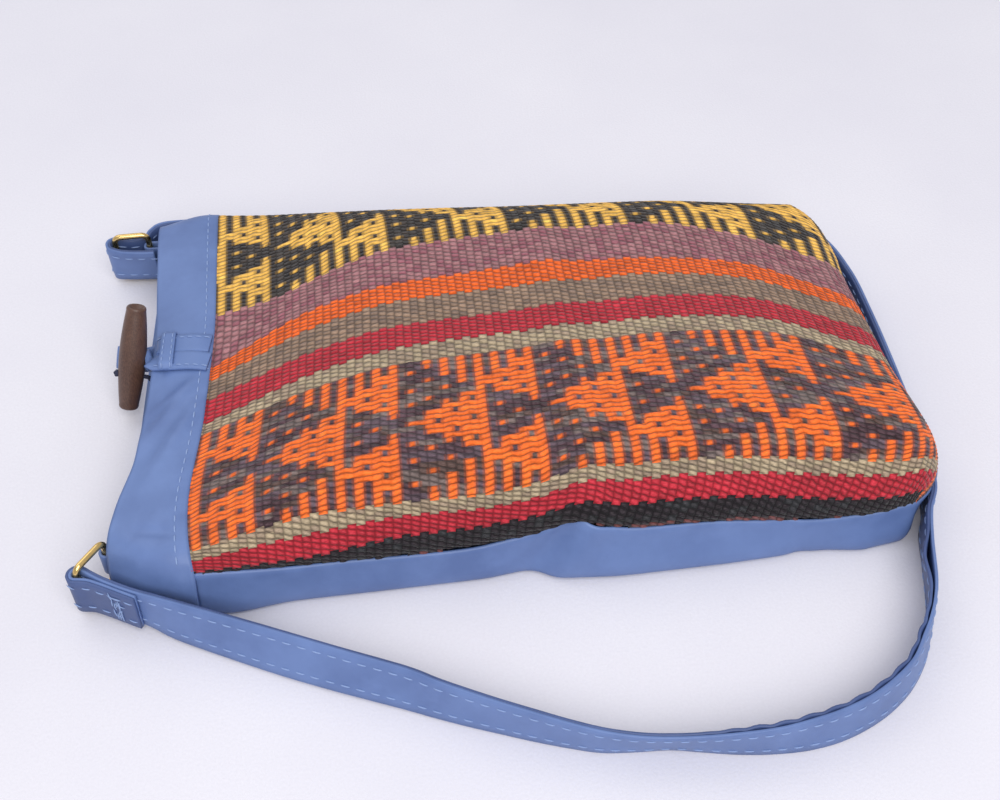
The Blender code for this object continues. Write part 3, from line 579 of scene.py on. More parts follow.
def motif_cell(column, row):
    """Whether a cell is bright, and whether it is a dot: a big triangle, two behind it, bars and dots."""
    place = column % PERIOD
    away = abs(row - (MOTIF_ROWS - 1) / 2)
    lattice = away in ((0, 4, 7, 11), (2, 5, 9, 12))[place // 2 % 2]
    if place == 9:
        return True, False
    reach = 0.75 * (place - 0.7)
    if 2 <= place < 9 and away <= reach:
        hole = place % 2 == 0 and lattice and away <= reach - 0.9
        return not hole, hole
    low, high = 7.6 - 0.88 * (place - 9), 8.4 + 0.70 * (place - 10)
    if place > 9 and low <= away <= high:
        hole = place % 2 == 0 and lattice and away >= low + 0.9
        return not hole, hole
    bar_from = {3: 12.5, 5: 10.0, 7: 8.0, 11: high, 13: high, 15: high}.get(place, MOTIF_ROWS)
    if away >= bar_from:
        return True, False
    dot = place % 2 == 1 and lattice
    return dot, dot


def weave_colors(columns, rows, first_column):
    """Colour of every cell, whether it lies in a plain stripe or is a lone dot, and how its floats lie."""
    colors = np.zeros((columns, rows, 3))
    plain = np.zeros((columns, rows))
    grain = np.ones((columns, rows))
    dots = np.zeros((columns, rows), bool)
    names = ((5, "black"), (9, "red"), (12, "beige"), (39, None), (43, "beige"), (49, "red"), (55, "olive"),
             (60, "orange"), (69, "mauve"))
    for row in range(rows):
        name = next((name for top, name in names if row < top), None)
        first_row = 12 if row < 39 else 69
        tone = 1.0 + rng.normal(0, 0.05)
        kind = rng.integers(0, len(DARKS))
        for column in range(columns):
            if name and not (row < 12 and column >= columns - 3):
                plain[column, row] = 1.0
                base = PLAIN[name]
                value = tone * (1.0 + rng.normal(0, 0.09))
                if name in VARIANTS:
                    chance, other = VARIANTS[name]
                    if rng.random() < chance:
                        base = other
                if row == 0 and rng.random() < 0.7:
                    base = SEAM_RED
            else:
                bright, dot = motif_cell(column - first_column, row - first_row)
                dots[column, row] = dot
                grain[column, row] = 0.0 if bright else 0.8
                if rng.random() < 0.45:
                    kind = rng.integers(0, len(DARKS))
                value = tone * (1.0 + rng.normal(0, 0.10))
                if first_row == 12:
                    base = MOTIF_ORANGE if bright else DARKS[kind]
                else:
                    base = GOLD if bright else BLACKS[kind % len(BLACKS)]
                if dot and bright:
                    value *= 0.80
            colors[column, row] = np.clip(np.array(base) * value, 0.0, 1.0)
    return colors, plain, dots, grain


def make_kilim():
    per_u, per_v = 3, 2
    s_fine = np.linspace(0.0, 1.0, 500)
    middle = panel(s_fine, np.full_like(s_fine, 0.45))
    along = running(middle)
    first_column = math.ceil(FIRST_EDGE / COLUMN_PITCH)
    offset = FIRST_EDGE - first_column * COLUMN_PITCH
    columns = math.ceil((along[-1] - offset) / COLUMN_PITCH)
    u_at = np.arange(columns * per_u + 1) / per_u
    s_at = np.interp(u_at * COLUMN_PITCH + offset, along, s_fine)
    rows = WEAVE_ROWS
    r_at = np.arange(rows * per_v + 1) / per_v
    t_fine = np.linspace(0.0, 1.0, 500)
    borders = [(row, table([(x / 1000, v / 1000) for x, v in zip(stations, distances)], 0.006))
               for row, stations, distances in BORDERS]
    lines = np.zeros((len(s_at), len(r_at)))
    for i, s in enumerate(s_at):
        strip = panel(np.full_like(t_fine, s), t_fine)
        across = running(strip)
        known_rows, known_v = [], []
        for row, line in borders:
            v = float(line(strip[250, 0]))
            for _ in range(2):
                v = float(line(np.interp(v, across, strip[:, 0])))
            known_rows.append(row)
            known_v.append(v)
        known_rows = [known_rows[0] - 30] + known_rows + [known_rows[-1] + 60]
        known_v = [known_v[0] - 30 * ROW_PITCH] + known_v + [known_v[-1] + 60 * ROW_PITCH]
        lines[i] = np.interp(np.interp(r_at, known_rows, known_v), across, t_fine)
    lines = soften(lines, 13)
    points = panel(np.repeat(s_at[:, None], len(r_at), 1), lines)
    inside = (lines > 0.0005) & (lines < 0.9995)
    normals = grid_normals(points)
    normals[normals[..., 2] < -0.2] *= -1
    colors, plain, dots, grain = weave_colors(columns, rows, first_column)
    u_grid, r_grid = np.meshgrid(u_at, r_at, indexing="ij")
    stripe = plain[0, np.minimum(r_grid.astype(int), rows - 1)]
    odd = (np.floor(u_grid + 1e-6).astype(int) % 2) * 0.5
    wave = -0.11 * np.sin((u_grid + 0.5) * math.pi)
    course = r_grid + stripe * odd + (1 - stripe) * wave
    ridge = np.abs(np.sin(course * math.pi))
    pinch = np.abs((u_grid % 1.0) * 2.0 - 1.0) ** 3.5
    lift = ridge * (1.0 - pinch * (0.28 + 0.42 * stripe))
    points = points + normals * (RELIEF * (lift - 0.5))[..., None]
    uv = np.stack([u_grid, r_grid], -1)
    faces = grid_faces(len(u_at), len(r_at))
    sub_u = np.repeat(np.arange(len(u_at) - 1), len(r_at) - 1)
    sub_v = np.tile(np.arange(len(r_at) - 1), len(u_at) - 1)
    seen = inside.reshape(-1)[faces].any(axis=1)
    faces, sub_u, sub_v = faces[seen], sub_u[seen], sub_v[seen]
    cell_u = sub_u // per_u
    # in a plain stripe every other column sits half a row higher, which steps the borders of the colours
    half_step = (cell_u % 2) * plain[cell_u, sub_v // per_v]
    cell_v = np.clip(((sub_v + half_step) // per_v).astype(int), 0, rows - 1)
    own = colors[cell_u, cell_v]
    corner = np.repeat(own[:, None, :], 4, axis=1)
    lone = dots[cell_u, cell_v]
    for edge, way, corners in ((0, -1, (0, 3)), (per_u - 1, 1, (1, 2))):
        side = np.clip(cell_u + way, 0, columns - 1)
        share = np.where(lone, 1.0, 0.35) * (sub_u % per_u == edge) * (1.0 - plain[cell_u, cell_v])
        for k in corners:
            corner[:, k] += (colors[side, cell_v] - own) * share[:, None]
    used, index = np.unique(faces, return_inverse=True)
    faces = index.reshape(faces.shape)
    obj = mesh_object("kilim", points.reshape(-1, 3)[used], faces, KILIM)
    mesh = obj.data
    layer = mesh.uv_layers.new(name="UVMap")
    layer.data.foreach_set("uv", uv.reshape(-1, 2)[used][faces.reshape(-1)].astype(np.float32).ravel())
    attribute = mesh.attributes.new("weave", "FLOAT_COLOR", "CORNER")
    full = np.concatenate([corner.reshape(-1, 3), np.ones((len(faces) * 4, 1))], 1)
    attribute.data.foreach_set("color", full.astype(np.float32).ravel())
    kind = mesh.attributes.new("plain", "FLOAT", "CORNER")
    kind.data.foreach_set("value", np.repeat(grain[cell_u, cell_v], 4).astype(np.float32))
    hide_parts("kilim_panel")
    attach(obj, "bag")


make_kilim()


# Mouth band: a flattened tube of leather from the lip to the seam

LIP_X = table((
    (-0.0755, -0.1575), (-0.0690, -0.1566), (-0.0540, -0.1547), (-0.0350, -0.1500), (0.0000, -0.1480),
    (0.0350, -0.1480), (0.0950, -0.1528), (0.1100, -0.1530)), 0.004)
REAR_LIP_X, REAR_SEAM_X = -0.1560, -0.1246
BAND_STITCH_SHARE = 0.845
BAND_FLOOR = 0.0004
# Folds of the leather: start, end, width and height
CREASES = (
    ((-0.1270, 0.0040), (-0.1500, -0.0300), 0.0032, 0.0013),
    ((-0.1240, -0.0050), (-0.1460, -0.0500), 0.0034, 0.0011),
    ((-0.1290, 0.0010), (-0.1470, -0.0120), 0.0026, 0.0009),
    ((-0.1480, -0.0690), (-0.1300, -0.0730), 0.0024, -0.0012),
    ((-0.1300, 0.0250), (-0.1460, 0.0420), 0.0030, 0.0006),
)


def crease_lift(x, y):
    lift = np.zeros(np.broadcast(x, y).shape)
    for (x0, y0), (x1, y1), width, height in CREASES:
        run = (x1 - x0) ** 2 + (y1 - y0) ** 2
        share = ((x - x0) * (x1 - x0) + (y - y0) * (y1 - y0)) / run
        near = np.clip(share, 0.0, 1.0)
        away = np.hypot(x - x0 - near * (x1 - x0), y - y0 - near * (y1 - y0))
        fade = np.sin(np.clip(share, 0.02, 0.98) * math.pi) ** 0.5
        lift = lift + height * fade * np.exp(-(away / width) ** 2)
    return lift


def band_sides(share):
    low = np.interp(share, (0.0, 0.42, 1.0), (-0.0755, -0.0825, -0.0872))
    high = np.interp(share, (0.0, 1.0), (0.1100, 0.1120))
    return low, high


def band_plan(share, t):
    """Plan position on the band's front: share from the lip to the seam, t from near to far."""
    low, high = band_sides(share)
    y = low + (high - low) * t
    lip = LIP_X(y)
    return lip + (SEAM_X(np.clip(y, -0.087, 0.112)) + 0.0008 - lip) * share, y


def band_height(share, x, y):
    low, high = band_sides(share)
    at_lip = 0.0270 - 0.009 * (1 - quarter((y - low) / 0.012)) - 0.008 * (1 - quarter((high - y) / 0.010))
    seam_x = SEAM_X(np.clip(y, -0.087, 0.112))
    at_seam = panel_height(seam_x + 0.0015, np.clip(y, SEAM_NEAR_Y(seam_x), FAR_Y(seam_x))) + 0.0005
    height = at_lip + (at_seam - at_lip) * smooth(share)
    plump = 0.0012 * np.sin(np.clip(share, 0, 1) * math.pi)
    return height + plump + crease_lift(x, y)


def band_point(share, t):
    x, y = band_plan(share, t)
    return np.stack([x, y, band_height(share, x, y)], -1)


def make_band():
    shares = np.linspace(0.0, 1.0, 26)
    t_top = np.linspace(0.0, 1.0, 130)
    loops = []
    for share in shares:
        top = band_point(np.full_like(t_top, share), t_top)
        low, high = band_sides(share)
        back_x = REAR_LIP_X + (REAR_SEAM_X - REAR_LIP_X) * share

        def wall(start, y_bulge, steps=9):
            turn = np.linspace(0.0, 1.0, steps + 2)[1:-1]
            z = start[2] + (BAND_FLOOR - start[2]) * turn
            y = start[1] + y_bulge * np.sin(turn * math.pi) ** 0.8
            x = start[0] + (back_x - start[0]) * smooth(turn)
            return np.stack([x, y, z], -1)

        far_wall = wall(top[-1], 0.0022)
        near_wall = wall(top[0], -0.0040)[::-1]
        y_floor = np.linspace(high - 0.001, low + 0.002, 60)
        floor = np.stack([np.full_like(y_floor, back_x), y_floor, np.full_like(y_floor, BAND_FLOOR)], -1)
        loops.append(np.concatenate([top, far_wall, floor, near_wall]))
    obj = grid_object("mouth_band_leather", np.array(loops), LEATHER, closed=True)
    face_outwards(obj)
    solidify(obj, BAND_LEATHER, -1.0)
    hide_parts("mouth_band")
    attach(obj, "bag")
    t = np.linspace(0.004, 0.996, 300)
    share = np.full_like(t, BAND_STITCH_SHARE)
    line = band_point(share, t)
    side = band_point(share + 0.02, t) - line
    normals = unit(np.cross(side, np.gradient(line, axis=0)))
    places = along_line(line, normals, BAND_STITCH_PITCH, jitter=0.00006)
    row = stitches("mouth_band_stitches", places, BAND_STITCH)
    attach(row, "bag")


make_band()


# Gusset: strip of leather from the panel's edge down to the floor and under the bag

def rim(count):
    """The panel's edge from the near side of the mouth to the far one: its points and outward directions."""
    near = panel(np.linspace(0.0, 1.0, count), np.zeros(count))
    end = panel(np.ones(count // 2), np.linspace(0.0, 1.0, count // 2))
    far = panel(np.linspace(1.0, 0.0, count), np.ones(count))
    edge = np.concatenate([near, end[1:], far[1:]])
    step = np.linalg.norm(np.diff(edge[:, :2], axis=0), axis=1)
    keep = np.concatenate([[True], step > 1e-5])
    edge = edge[keep]
    run = running(edge[:, :2])
    even = np.linspace(0.0, run[-1], 420)
    edge = np.stack([np.interp(even, run, edge[:, k]) for k in range(3)], 1)
    along = unit(soften(np.gradient(edge[:, :2], axis=0), 15))
    return edge, np.stack([along[:, 1], -along[:, 0]], 1)


NEAR_FOOT = table((
    (-0.1340, -0.0880), (-0.1228, -0.0883), (-0.1127, -0.0895), (-0.0913, -0.0853), (-0.0649, -0.0837),
    (-0.0161, -0.0805), (0.0002, -0.0775), (0.0169, -0.0834), (0.0334, -0.0837), (0.0733, -0.0811),
    (0.1025, -0.0781), (0.1146, -0.0767), (0.1288, -0.0782), (0.1413, -0.0772), (0.1480, -0.0760)),
    0.0035)


def make_gusset():
    edge, out = rim(240)
    profile = (
        (-0.0010, -0.0004, 0.0), (-0.0006, 0.0003, 0.0), (0.0001, 0.0003, 0.0), (0.0007, -0.0004, 0.0),
        (0.0010, 0.0, 0.10), (0.0013, 0.0, 0.26), (0.0016, 0.0, 0.44), (0.0018, 0.0, 0.62),
        (0.0017, 0.0, 0.78), (0.0012, 0.0, 0.90), (0.0000, 0.0, 0.97), (-0.0030, 0.0, 1.0),
        (-0.0090, 0.0, 1.0))
    floor = 0.0005
    loops = []
    for point, outwards in zip(edge, out):
        near_share = smooth((-outwards[1] - 0.55) / 0.35)
        end_share = smooth((outwards[0] - 0.45) / 0.35)
        foot_target = NEAR_FOOT(point[0]) - point[1]
        foot = near_share * min(foot_target, 0.0) * -1.0
        foot -= end_share * (0.0050 + 0.0040 * smooth((-point[1] - 0.035) / 0.025))
        line = []
        for push, lift, drop in profile:
            place = push + foot * smooth(drop / 0.9)
            z = point[2] + lift - 0.0006 * min(drop * 8, 1)
            z = z + (floor - z) * drop
            line.append((point[0] + outwards[0] * place, point[1] + outwards[1] * place, z))
        loops.append(line)
    points = np.array(loops)
    # the crease that runs down from the peak in the seam, and small slack folds along the near side
    x, y, z = points[..., 0], points[..., 1], points[..., 2]
    near = smooth((-y - 0.060) / 0.012)
    height = np.clip((z - 0.002) / 0.028, 0.0, 1.0)
    crease_x = 0.0005 + 0.0160 * height
    dent = np.exp(-((x - crease_x) / 0.0042) ** 2) * smooth(height * 3.0)
    ridge = np.exp(-((x - crease_x - 0.0090) / 0.0060) ** 2)
    second = np.exp(-((x - 0.1050 + 0.012 * height) / 0.0045) ** 2)
    slack = 0.0004 * np.sin(x * 95.0 + 1.3) * np.sin(height * math.pi)
    points[..., 1] += near * (0.0026 * dent - 0.0014 * ridge + 0.0009 * second + slack)
    # the corner by the bottom end is tucked in towards the floor
    low = 1.0 - np.clip((z - 0.0005) / 0.0190, 0.0, 1.0)
    points[..., 0] -= 0.0085 * smooth((x - 0.126) / 0.020) * smooth((-y - 0.038) / 0.022) * low
    obj = grid_object("gusset_leather", points, LEATHER)
    face_outwards(obj)
    # an open sheet: the side that faces out is the one away from the bag's middle
    middle = obj.data.polygons[len(obj.data.polygons) // 2]
    if Vector(middle.normal).dot(Vector((middle.center.x, middle.center.y, 0.0))) < 0.0:
        obj.data.flip_normals()
    solidify(obj, GUSSET_LEATHER, -1.0)
    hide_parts("side_gusset")
    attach(obj, "bag")


make_gusset()


# Rings and tabs

RING_ALONG = 0.0258
RING_ACROSS = 0.0176
RING_CORNER = 0.0030
NEAR_BAR = Vector((-0.15855, -0.0706, 0.0135))
FAR_BAR = Vector((-0.15855, 0.1015, 0.0135))
UP = Vector((0.0, 0.0, 1.0))


def make_ring(name, bar, outwards, body):
    outwards = Vector(outwards).normalized()
    half, across, radius = RING_ALONG / 2 - WIRE, RING_ACROSS - 2 * WIRE, RING_CORNER
    corners = ((half - radius, radius, -90.0), (half - radius, across - radius, 0.0),
               (-half + radius, across - radius, 90.0), (-half + radius, radius, 180.0))
    points = []
    for along, out, start in corners:
        for step in range(10):
            angle = math.radians(start + 90.0 * step / 9.0)
            place = UP * (along + radius * math.cos(angle)) + outwards * (out + radius * math.sin(angle))
            points.append(bar + place)
    obj = tube(name + "_wire", [tuple(p) for p in points], WIRE, BRASS, closed=True, sides=18)
    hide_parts(name)
    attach(obj, body)


def make_tab(name, bar):
    radius = WIRE + 0.0003 + TAB_LEATHER / 2
    points = [(bar.x + 0.0150, bar.y + radius, bar.z), (bar.x + 0.0075, bar.y + radius, bar.z)]
    for step in range(15):
        angle = math.radians(90.0 + 180.0 * step / 14.0)
        points.append((bar.x + radius * math.cos(angle), bar.y + radius * math.sin(angle), bar.z))
    points += [(bar.x + 0.0075, bar.y - radius, bar.z), (bar.x + 0.0150, bar.y - radius, bar.z)]
    points = np.array(points)
    sides = np.repeat(np.array([[0.0, 0.0, 1.0]]), len(points), 0)
    obj, *_ = ribbon(name + "_leather", points, sides, TAB_WIDTH, TAB_LEATHER, LEATHER)
    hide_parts(name)
    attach(obj, "bag")


make_ring("ring_near", NEAR_BAR, (-0.567, -0.824, 0.0), "ring_near")
make_ring("ring_far", FAR_BAR, (-0.998, -0.060, 0.0), "ring_far")
make_tab("ring_tab_near", NEAR_BAR)
make_tab("ring_tab_far", FAR_BAR)


# Strap: two stitched layers of leather, folded round each ring

# Centre of the strip in tenths of a millimetre, and its lean in degrees: 0 lies flat outwards, 90 is upright
STRAP_ROUTE = (
    (-1450, -948, 132, 90), (-1522, -913, 134, 90), (-1585, -882, 135, 90), (-1633, -862, 135, 90),
    (-1682, -855, 135, 90), (-1697, -838, 135, 90), (-1695, -817, 135, 90), (-1680, -803, 135, 90),
    (-1657, -803, 135, 90), (-1616, -831, 135, 90), (-1573, -858, 135, 90), (-1511, -889, 132, 90),
    (-1455, -915, 129, 91), (-1390, -942, 122, 95), (-1295, -984, 111, 102), (-1062, -1081, 103, 108),
    (-898, -1150, 101, 110), (-720, -1223, 102, 109), (-491, -1312, 102, 106), (-382, -1362, 102, 101),
    (-271, -1409, 102, 97), (-159, -1453, 102, 93), (-47, -1495, 102, 90), (67, -1535, 102, 86),
    (183, -1569, 102, 82), (304, -1585, 100, 76), (421, -1591, 99, 73), (538, -1602, 100, 77),
    (659, -1610, 102, 83), (780, -1609, 102, 88), (899, -1595, 102, 94), (1014, -1568, 102, 97),
    (1122, -1524, 102, 98), (1221, -1464, 101, 99), (1310, -1387, 101, 99), (1376, -1295, 100, 101),
    (1414, -1228, 101, 99), (1450, -1147, 101, 97), (1479, -1053, 102, 95.5), (1514, -882, 102, 95.5),
    (1546, -740, 102, 92), (1592, -620, 104, 90), (1612, -400, 104, 91), (1606, -150, 104, 91),
    (1598, 100, 104, 91), (1586, 330, 104, 91), (1560, 600, 104, 91), (1480, 840, 104, 91),
    (1290, 995, 104, 90), (950, 1055, 104, 90), (400, 1085, 104, 90), (-200, 1115, 104, 90),
    (-700, 1137, 104, 90), (-1150, 1157, 108, 90), (-1430, 1150, 112, 90), (-1540, 1141, 110, 90),
    (-1583, 1102, 110, 90), (-1604, 1056, 112, 90), (-1660, 1030, 118, 90), (-1722, 1028, 128, 90),
    (-1754, 1014, 135, 90), (-1762, 992, 135, 89), (-1750, 970, 133, 86), (-1715, 960, 130, 82),
    (-1670, 955, 128, 80), (-1610, 952, 127, 79), (-1552, 950, 127, 79),
)


def make_strap():
    rows = np.array(STRAP_ROUTE)
    centres = rows[:, :3] / 10000
    along = np.zeros_like(centres)
    along[1:-1] = centres[2:] - centres[:-2]
    along[0], along[-1] = centres[1] - centres[0], centres[-1] - centres[-2]
    along = unit(along)
    outwards = unit(np.cross(along, [0.0, 0.0, 1.0]))
    lean = np.radians(rows[:, 3])[:, None]
    sides = outwards * np.cos(lean) + np.array([0.0, 0.0, 1.0]) * np.sin(lean)
    points = curve_through(centres, 8)
    turned = unit(curve_through(sides, 8))
    direction = unit(np.gradient(points, axis=0))
    normal = unit(np.cross(direction, turned))
    run = running(points)
    # where the strap turns at the right, its back layer is slack: the top edge stands off in short waves
    slack = smooth((points[:, 0] - 0.0450) / 0.030) * smooth((-points[:, 1] - 0.085) / 0.012)
    waves = np.sin(run * 2 * math.pi / 0.0095 + 1.1 * np.sin(run * 47.0))
    waves *= smooth((0.1480 - points[:, 0]) / 0.010)
    bulge = np.exp(-((points[:, 1] + 0.0960) / 0.0085) ** 2) * smooth((points[:, 0] - 0.130) / 0.010)
    apart = (slack * (0.00040 + 0.00022 * waves) + 0.0013 * bulge)[:, None]
    back = points - normal * (STRAP_LAYER + apart) / 2 - normal * (apart * 0.25) + turned * (apart * 0.45)
    back_side = unit(turned - normal * (apart / STRAP_WIDTH * 1.5))
    back_normal = unit(np.cross(unit(np.gradient(back, axis=0)), back_side))
    front = points + normal * (STRAP_LAYER / 2)
    outer, *_ = ribbon("strap_outer", front, turned, STRAP_WIDTH, STRAP_LAYER, LEATHER, 0.00012)
    # the inner layer wears the darker copy of the leather, painted shade for the shade it lies in
    inner, *_ = ribbon("strap_inner", back, back_side, STRAP_WIDTH - 0.0004, STRAP_LAYER,
                       LEATHER_PAINTED_SHADE, 0.00012)
    places = []
    for side in (-1.0, 1.0):
        inset = side * STRAP_WIDTH * STRAP_INSET
        front_line = points + turned * inset + normal * (STRAP_LAYER + 0.00012)
        back_line = back + back_side * inset - back_normal * (STRAP_LAYER / 2 + 0.00006)
        places += along_line(front_line, normal, STRAP_STITCH_PITCH, jitter=0.00010)
        places += along_line(back_line, -back_normal, STRAP_STITCH_PITCH, jitter=0.00010)
    thread = stitches("strap_stitches", places, STRAP_STITCH)
    # bar tack which closes the near end on itself
    tack = []
    for k in range(20):
        at = rng.uniform(0.0062, 0.0098)
        index = int(np.argmin(np.abs(run - at)))
        across = rng.uniform(-0.0072, 0.0072)
        turn = rng.uniform(-0.25, 0.25) + (math.pi / 2 if k % 5 else 0.0)
        heading = direction[index] * math.cos(turn) + turned[index] * math.sin(turn)
        place = points[index] + turned[index] * across + normal[index] * (-STRAP_LAYER - 0.0002)
        tack.append((place, heading, -normal[index]))
    bar = stitches("strap_bar_tack", tack, 0.0050, FINE_THREAD_RADIUS)
    for piece in (outer, inner, thread, bar):
        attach(piece, "bag")
    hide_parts("strap")


make_strap()


# Toggle with its cord, and the loop which holds it

TOGGLE_LENGTH = 0.045
TOGGLE_RADIUS = 0.0056
TOGGLE_END = 0.0038
# Foot of the loop at the seam, its place at the lip, and how far it drifts to the far side between them
LOOP_FOOT = (-0.1234, 0.0162)
LOOP_LIP_X = -0.1455
LOOP_DRIFT = 0.0060
KEEPER_PLACE = (-0.1412, 0.0210)
# Where the cord goes through the toggle, in mm along it from its middle
CORD_PLACE = -7.8


def cross_direction():
    side = Vector((1.0, 0.0, 0.0))
    return (side - TOGGLE_AXIS * side.dot(TOGGLE_AXIS)).normalized()


def make_toggle():
    half = TOGGLE_LENGTH / 2
    profile = [(0.0, half - 0.0017), (0.0013, half - 0.0016), (0.0024, half - 0.0010),
               (0.0030, half - 0.0002), (0.0035, half), (0.0039, half - 0.0004), (0.0041, half - 0.0011)]
    for share in np.linspace(0.93, -0.93, 24):
        profile.append((TOGGLE_RADIUS + (TOGGLE_END - TOGGLE_RADIUS) * abs(share) ** 1.8, half * share))
    profile += [(radius, -height) for radius, height in reversed(profile[:7])]
    around = 40
    axis, across = np.array(TOGGLE_AXIS), np.array(cross_direction())
    other = np.cross(axis, across)
    centre = np.array(TOGGLE_CENTRE)
    turn = np.linspace(0, 2 * math.pi, around, endpoint=False)
    spokes = [math.cos(a) * across + math.sin(a) * other for a in turn]
    rings = np.array([[centre + axis * h + max(r, 1e-5) * spoke for spoke in spokes] for r, h in profile])
    obj = grid_object("toggle_wood", rings, WOOD, closed=True)
    face_outwards(obj, merge=0.00004)
    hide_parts("toggle")
    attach(obj, "toggle")


def band_top(x, y):
    """Height of the band's front at a plan position near its middle."""
    share = np.clip((x - LIP_X(y)) / (SEAM_X(y) - LIP_X(y)), 0.0, 1.0)
    return float(band_height(share, x, y))


def toggle_frame():
    """Directions of the toggle: out from the bag, to the far side, and along it."""
    out = -cross_direction()
    side = TOGGLE_AXIS.cross(out).normalized()
    if side.y < 0.0:
        side = -side
    return out, side, TOGGLE_AXIS


def by_toggle(out_mm, side_mm, along_mm):
    out, side, along = toggle_frame()
    return TOGGLE_CENTRE + out * (out_mm / 1000) + side * (side_mm / 1000) + along * (along_mm / 1000)


def make_loop():
    width, thick = LOOP_WIDTH, LOOP_LEATHER
    keeper_x, keeper_y = KEEPER_PLACE

    def leg(way):
        stations = []
        for share in (0.0, 0.2, 0.4, 0.6, 0.8, 1.0):
            x = LOOP_FOOT[0] + (LOOP_LIP_X - LOOP_FOOT[0]) * share
            y = LOOP_FOOT[1] + LOOP_DRIFT * share ** 1.3 + way * (width / 2 + 0.0002 - 0.0006 * share)
            z = band_top(x, y) + 0.0002 + thick / 2 + 0.0004 * share
            stations.append((Vector((x, y, z)), Vector((0.0, way, 0.0))))
        return stations

    def turned(weight):
        return (TOGGLE_AXIS + Vector((0.0, weight, 0.0))).normalized()

    # round behind the toggle: out from the bag, to the far side, along the toggle (mm), and turn
    behind = [(by_toggle(out, side, along), turned(weight)) for out, side, along, weight in (
        (-9.3, 3.8, 2.2, 0.9), (-7.6, 7.2, -1.6, 0.2), (-4.0, 8.8, -3.4, 0.0), (0.0, 9.1, -3.75, 0.0),
        (4.0, 9.0, -3.75, 0.0), (6.2, 8.7, -3.75, 0.0), (6.9, 7.9, -3.75, 0.0), (6.2, 7.1, -3.75, 0.0),
        (4.0, 6.8, -3.75, 0.0), (0.0, 6.8, -3.75, 0.0), (-3.6, 6.6, -3.3, 0.0), (-6.6, 4.4, -2.0, -0.25),
        (-8.4, 0.4, -0.4, -0.9))]
    behind.append((Vector((-0.1475, 0.0196, 0.0275)), Vector((0.1, -0.8, 0.5))))
    stations = leg(1.0) + behind + list(reversed(leg(-1.0)))
    points = curve_through([tuple(row[0]) for row in stations], 6)
    sides = unit(curve_through([tuple(row[1]) for row in stations], 6))
    obj, across, normal = ribbon("toggle_loop_leather", points, sides, width, thick, LEATHER, 0.0001)
    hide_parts("toggle_loop")
    places = []
    for part in (slice(0, 32), slice(len(points) - 32, len(points))):
        for face in (1.0, -1.0):
            line = points[part] + across[part] * (0.30 * width) + normal[part] * (face * (thick / 2 + 0.0001))
            places += along_line(line, normal[part] * face, 0.0038, jitter=0.00005)
    thread = stitches("toggle_loop_stitches", places, 0.0028, FINE_THREAD_RADIUS)
    top = max(band_top(keeper_x - 0.003, keeper_y), band_top(keeper_x + 0.003, keeper_y)) + 0.0006 + thick
    span = np.linspace(-1.0, 1.0, 30)
    drop = 0.0020 * smooth((np.abs(span) - 0.82) / 0.18)
    line = np.stack([np.full(30, keeper_x), keeper_y + span * 0.0102, top + 0.0006 - drop], -1)
    lengthwise = np.repeat([[1.0, 0.0, 0.0]], 30, 0)
    keeper, k_across, k_normal = ribbon("loop_keeper_leather", line, lengthwise, KEEPER_LENGTH,
                                        KEEPER_LEATHER, LEATHER, 0.0001)
    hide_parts("loop_keeper")
    places = []
    for at in (-0.30, 0.30):
        face = k_normal if k_normal[15, 2] > 0 else -k_normal
        row = line + k_across * (at * KEEPER_LENGTH) + face * 0.00055
        places += along_line(row, face, 0.0034, jitter=0.00008)
    keeper_thread = stitches("loop_keeper_stitches", places, 0.0025, FINE_THREAD_RADIUS)
    for piece in (obj, thread, keeper, keeper_thread):
        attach(piece, "bag")


def make_toggle_cord():
    """Short cord from the rear lip through the toggle, knotted on its outer side."""
    hole = CORD_PLACE
    start = Vector((-0.1425, 0.0210, 0.0036))
    route = [start, Vector((-0.1470, 0.0211, 0.0052)), Vector((-0.1495, 0.0212, 0.0085)),
             by_toggle(-7.6, 1.2, hole - 1.0), by_toggle(-6.2, 0.1, hole), by_toggle(-3.0, 0.0, hole),
             by_toggle(2.0, 0.0, hole), by_toggle(5.6, 0.0, hole)]
    points = curve_through([tuple(p) for p in route], 6)
    cord = tube("toggle_cord_dark", points, CORD_RADIUS, DARK_CORD, sides=10)
    centre = np.array(by_toggle(5.7, 0.0, hole))
    rings = []
    for turn in np.linspace(0.03, math.pi - 0.03, 12):
        around = np.linspace(0, 2 * math.pi, 18, endpoint=False)
        lump = 1.0 + 0.12 * np.sin(3 * around + turn * 4)
        wide = np.sin(turn) * lump
        rings.append(centre + KNOT_RADIUS * np.stack([wide * np.cos(around), wide * np.sin(around),
                                                      np.cos(turn) * np.ones(18)], 1))
    knot = grid_object("toggle_cord_knot", np.array(rings), DARK_CORD, closed=True)
    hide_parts("toggle_cord")
    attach(cord, "bag")
    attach(knot, "bag")


make_toggle()
make_loop()
make_toggle_cord()


def finish_cad_node(name, material):
    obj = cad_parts[name]
    for index in range(max(len(obj.material_slots), 1)):
        if index < len(obj.material_slots):
            obj.material_slots[index].material = material
        else:
            obj.data.materials.append(material)


finish_cad_node("rear_panel", LEATHER)
finish_cad_node("lining", LINING)


# Floor, light and camera

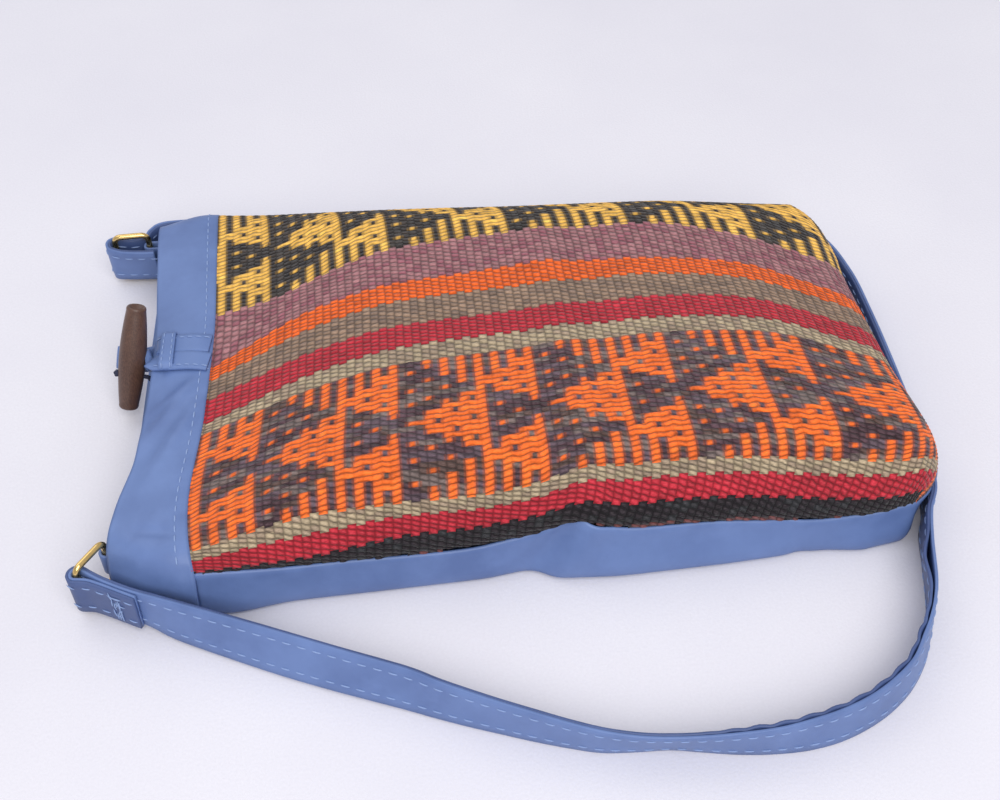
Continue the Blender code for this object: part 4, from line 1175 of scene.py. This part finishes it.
def make_floor():
    size, steps = 6.0, 60
    xs = np.linspace(-size / 2, size / 2, steps)
    grid = np.stack(np.meshgrid(xs, xs, indexing="ij") + [np.zeros((steps, steps))], -1)
    obj = grid_object("floor_cloth", grid, floor_material())
    if obj.data.polygons[0].normal.z < 0.0:
        obj.data.flip_normals()
    obj.location.z = -0.0001


def area_light(name, place, size, power, color):
    light = bpy.data.lights.new(name, "AREA")
    light.shape = "DISK"
    light.size = size
    light.energy = power
    light.color = color
    obj = bpy.data.objects.new(name, light)
    obj.location = place
    obj.rotation_euler = (-Vector(place)).to_track_quat("-Z", "Y").to_euler()
    bpy.context.scene.collection.objects.link(obj)


# Name, place, size of the disk, power and colour; each light points at the origin
LIGHTS = (
    ("soft_key", (0.15, -1.10, 1.35), 1.5, 21.0, (1.0, 0.985, 0.965)),
    ("soft_fill", (-0.9, 0.8, 1.6), 1.8, 8.0, (0.97, 0.98, 1.0)),
)
SKY_COLOR, SKY_STRENGTH = (0.94, 0.945, 1.0), 0.57

make_floor()
for light in LIGHTS:
    area_light(*light)

world = bpy.data.worlds.new("studio")
bpy.context.scene.world = world
world.use_nodes = True
background = world.node_tree.nodes["Background"]
background.inputs["Color"].default_value = (*SKY_COLOR, 1.0)
background.inputs["Strength"].default_value = SKY_STRENGTH

# Camera as fitted to the photograph
CAMERA_LENS = 49.3
CAMERA_PLACE = (-0.0341, -0.3810, 0.4370)
CAMERA_TARGET = (-0.007, -0.020, 0.035)
camera_data = bpy.data.cameras.new("photo_camera")
camera_data.sensor_width = 36.0
camera_data.lens = CAMERA_LENS
camera_data.clip_start = 0.01
camera = bpy.data.objects.new("photo_camera", camera_data)
camera.location = CAMERA_PLACE
camera.rotation_euler = (Vector(CAMERA_TARGET) - camera.location).to_track_quat("-Z", "Y").to_euler()
bpy.context.scene.collection.objects.link(camera)
bpy.context.scene.camera = camera

scene = bpy.context.scene
scene.render.resolution_x = 1000
scene.render.resolution_y = 800
scene.view_settings.view_transform = "Standard"
scene.cycles.samples = 192
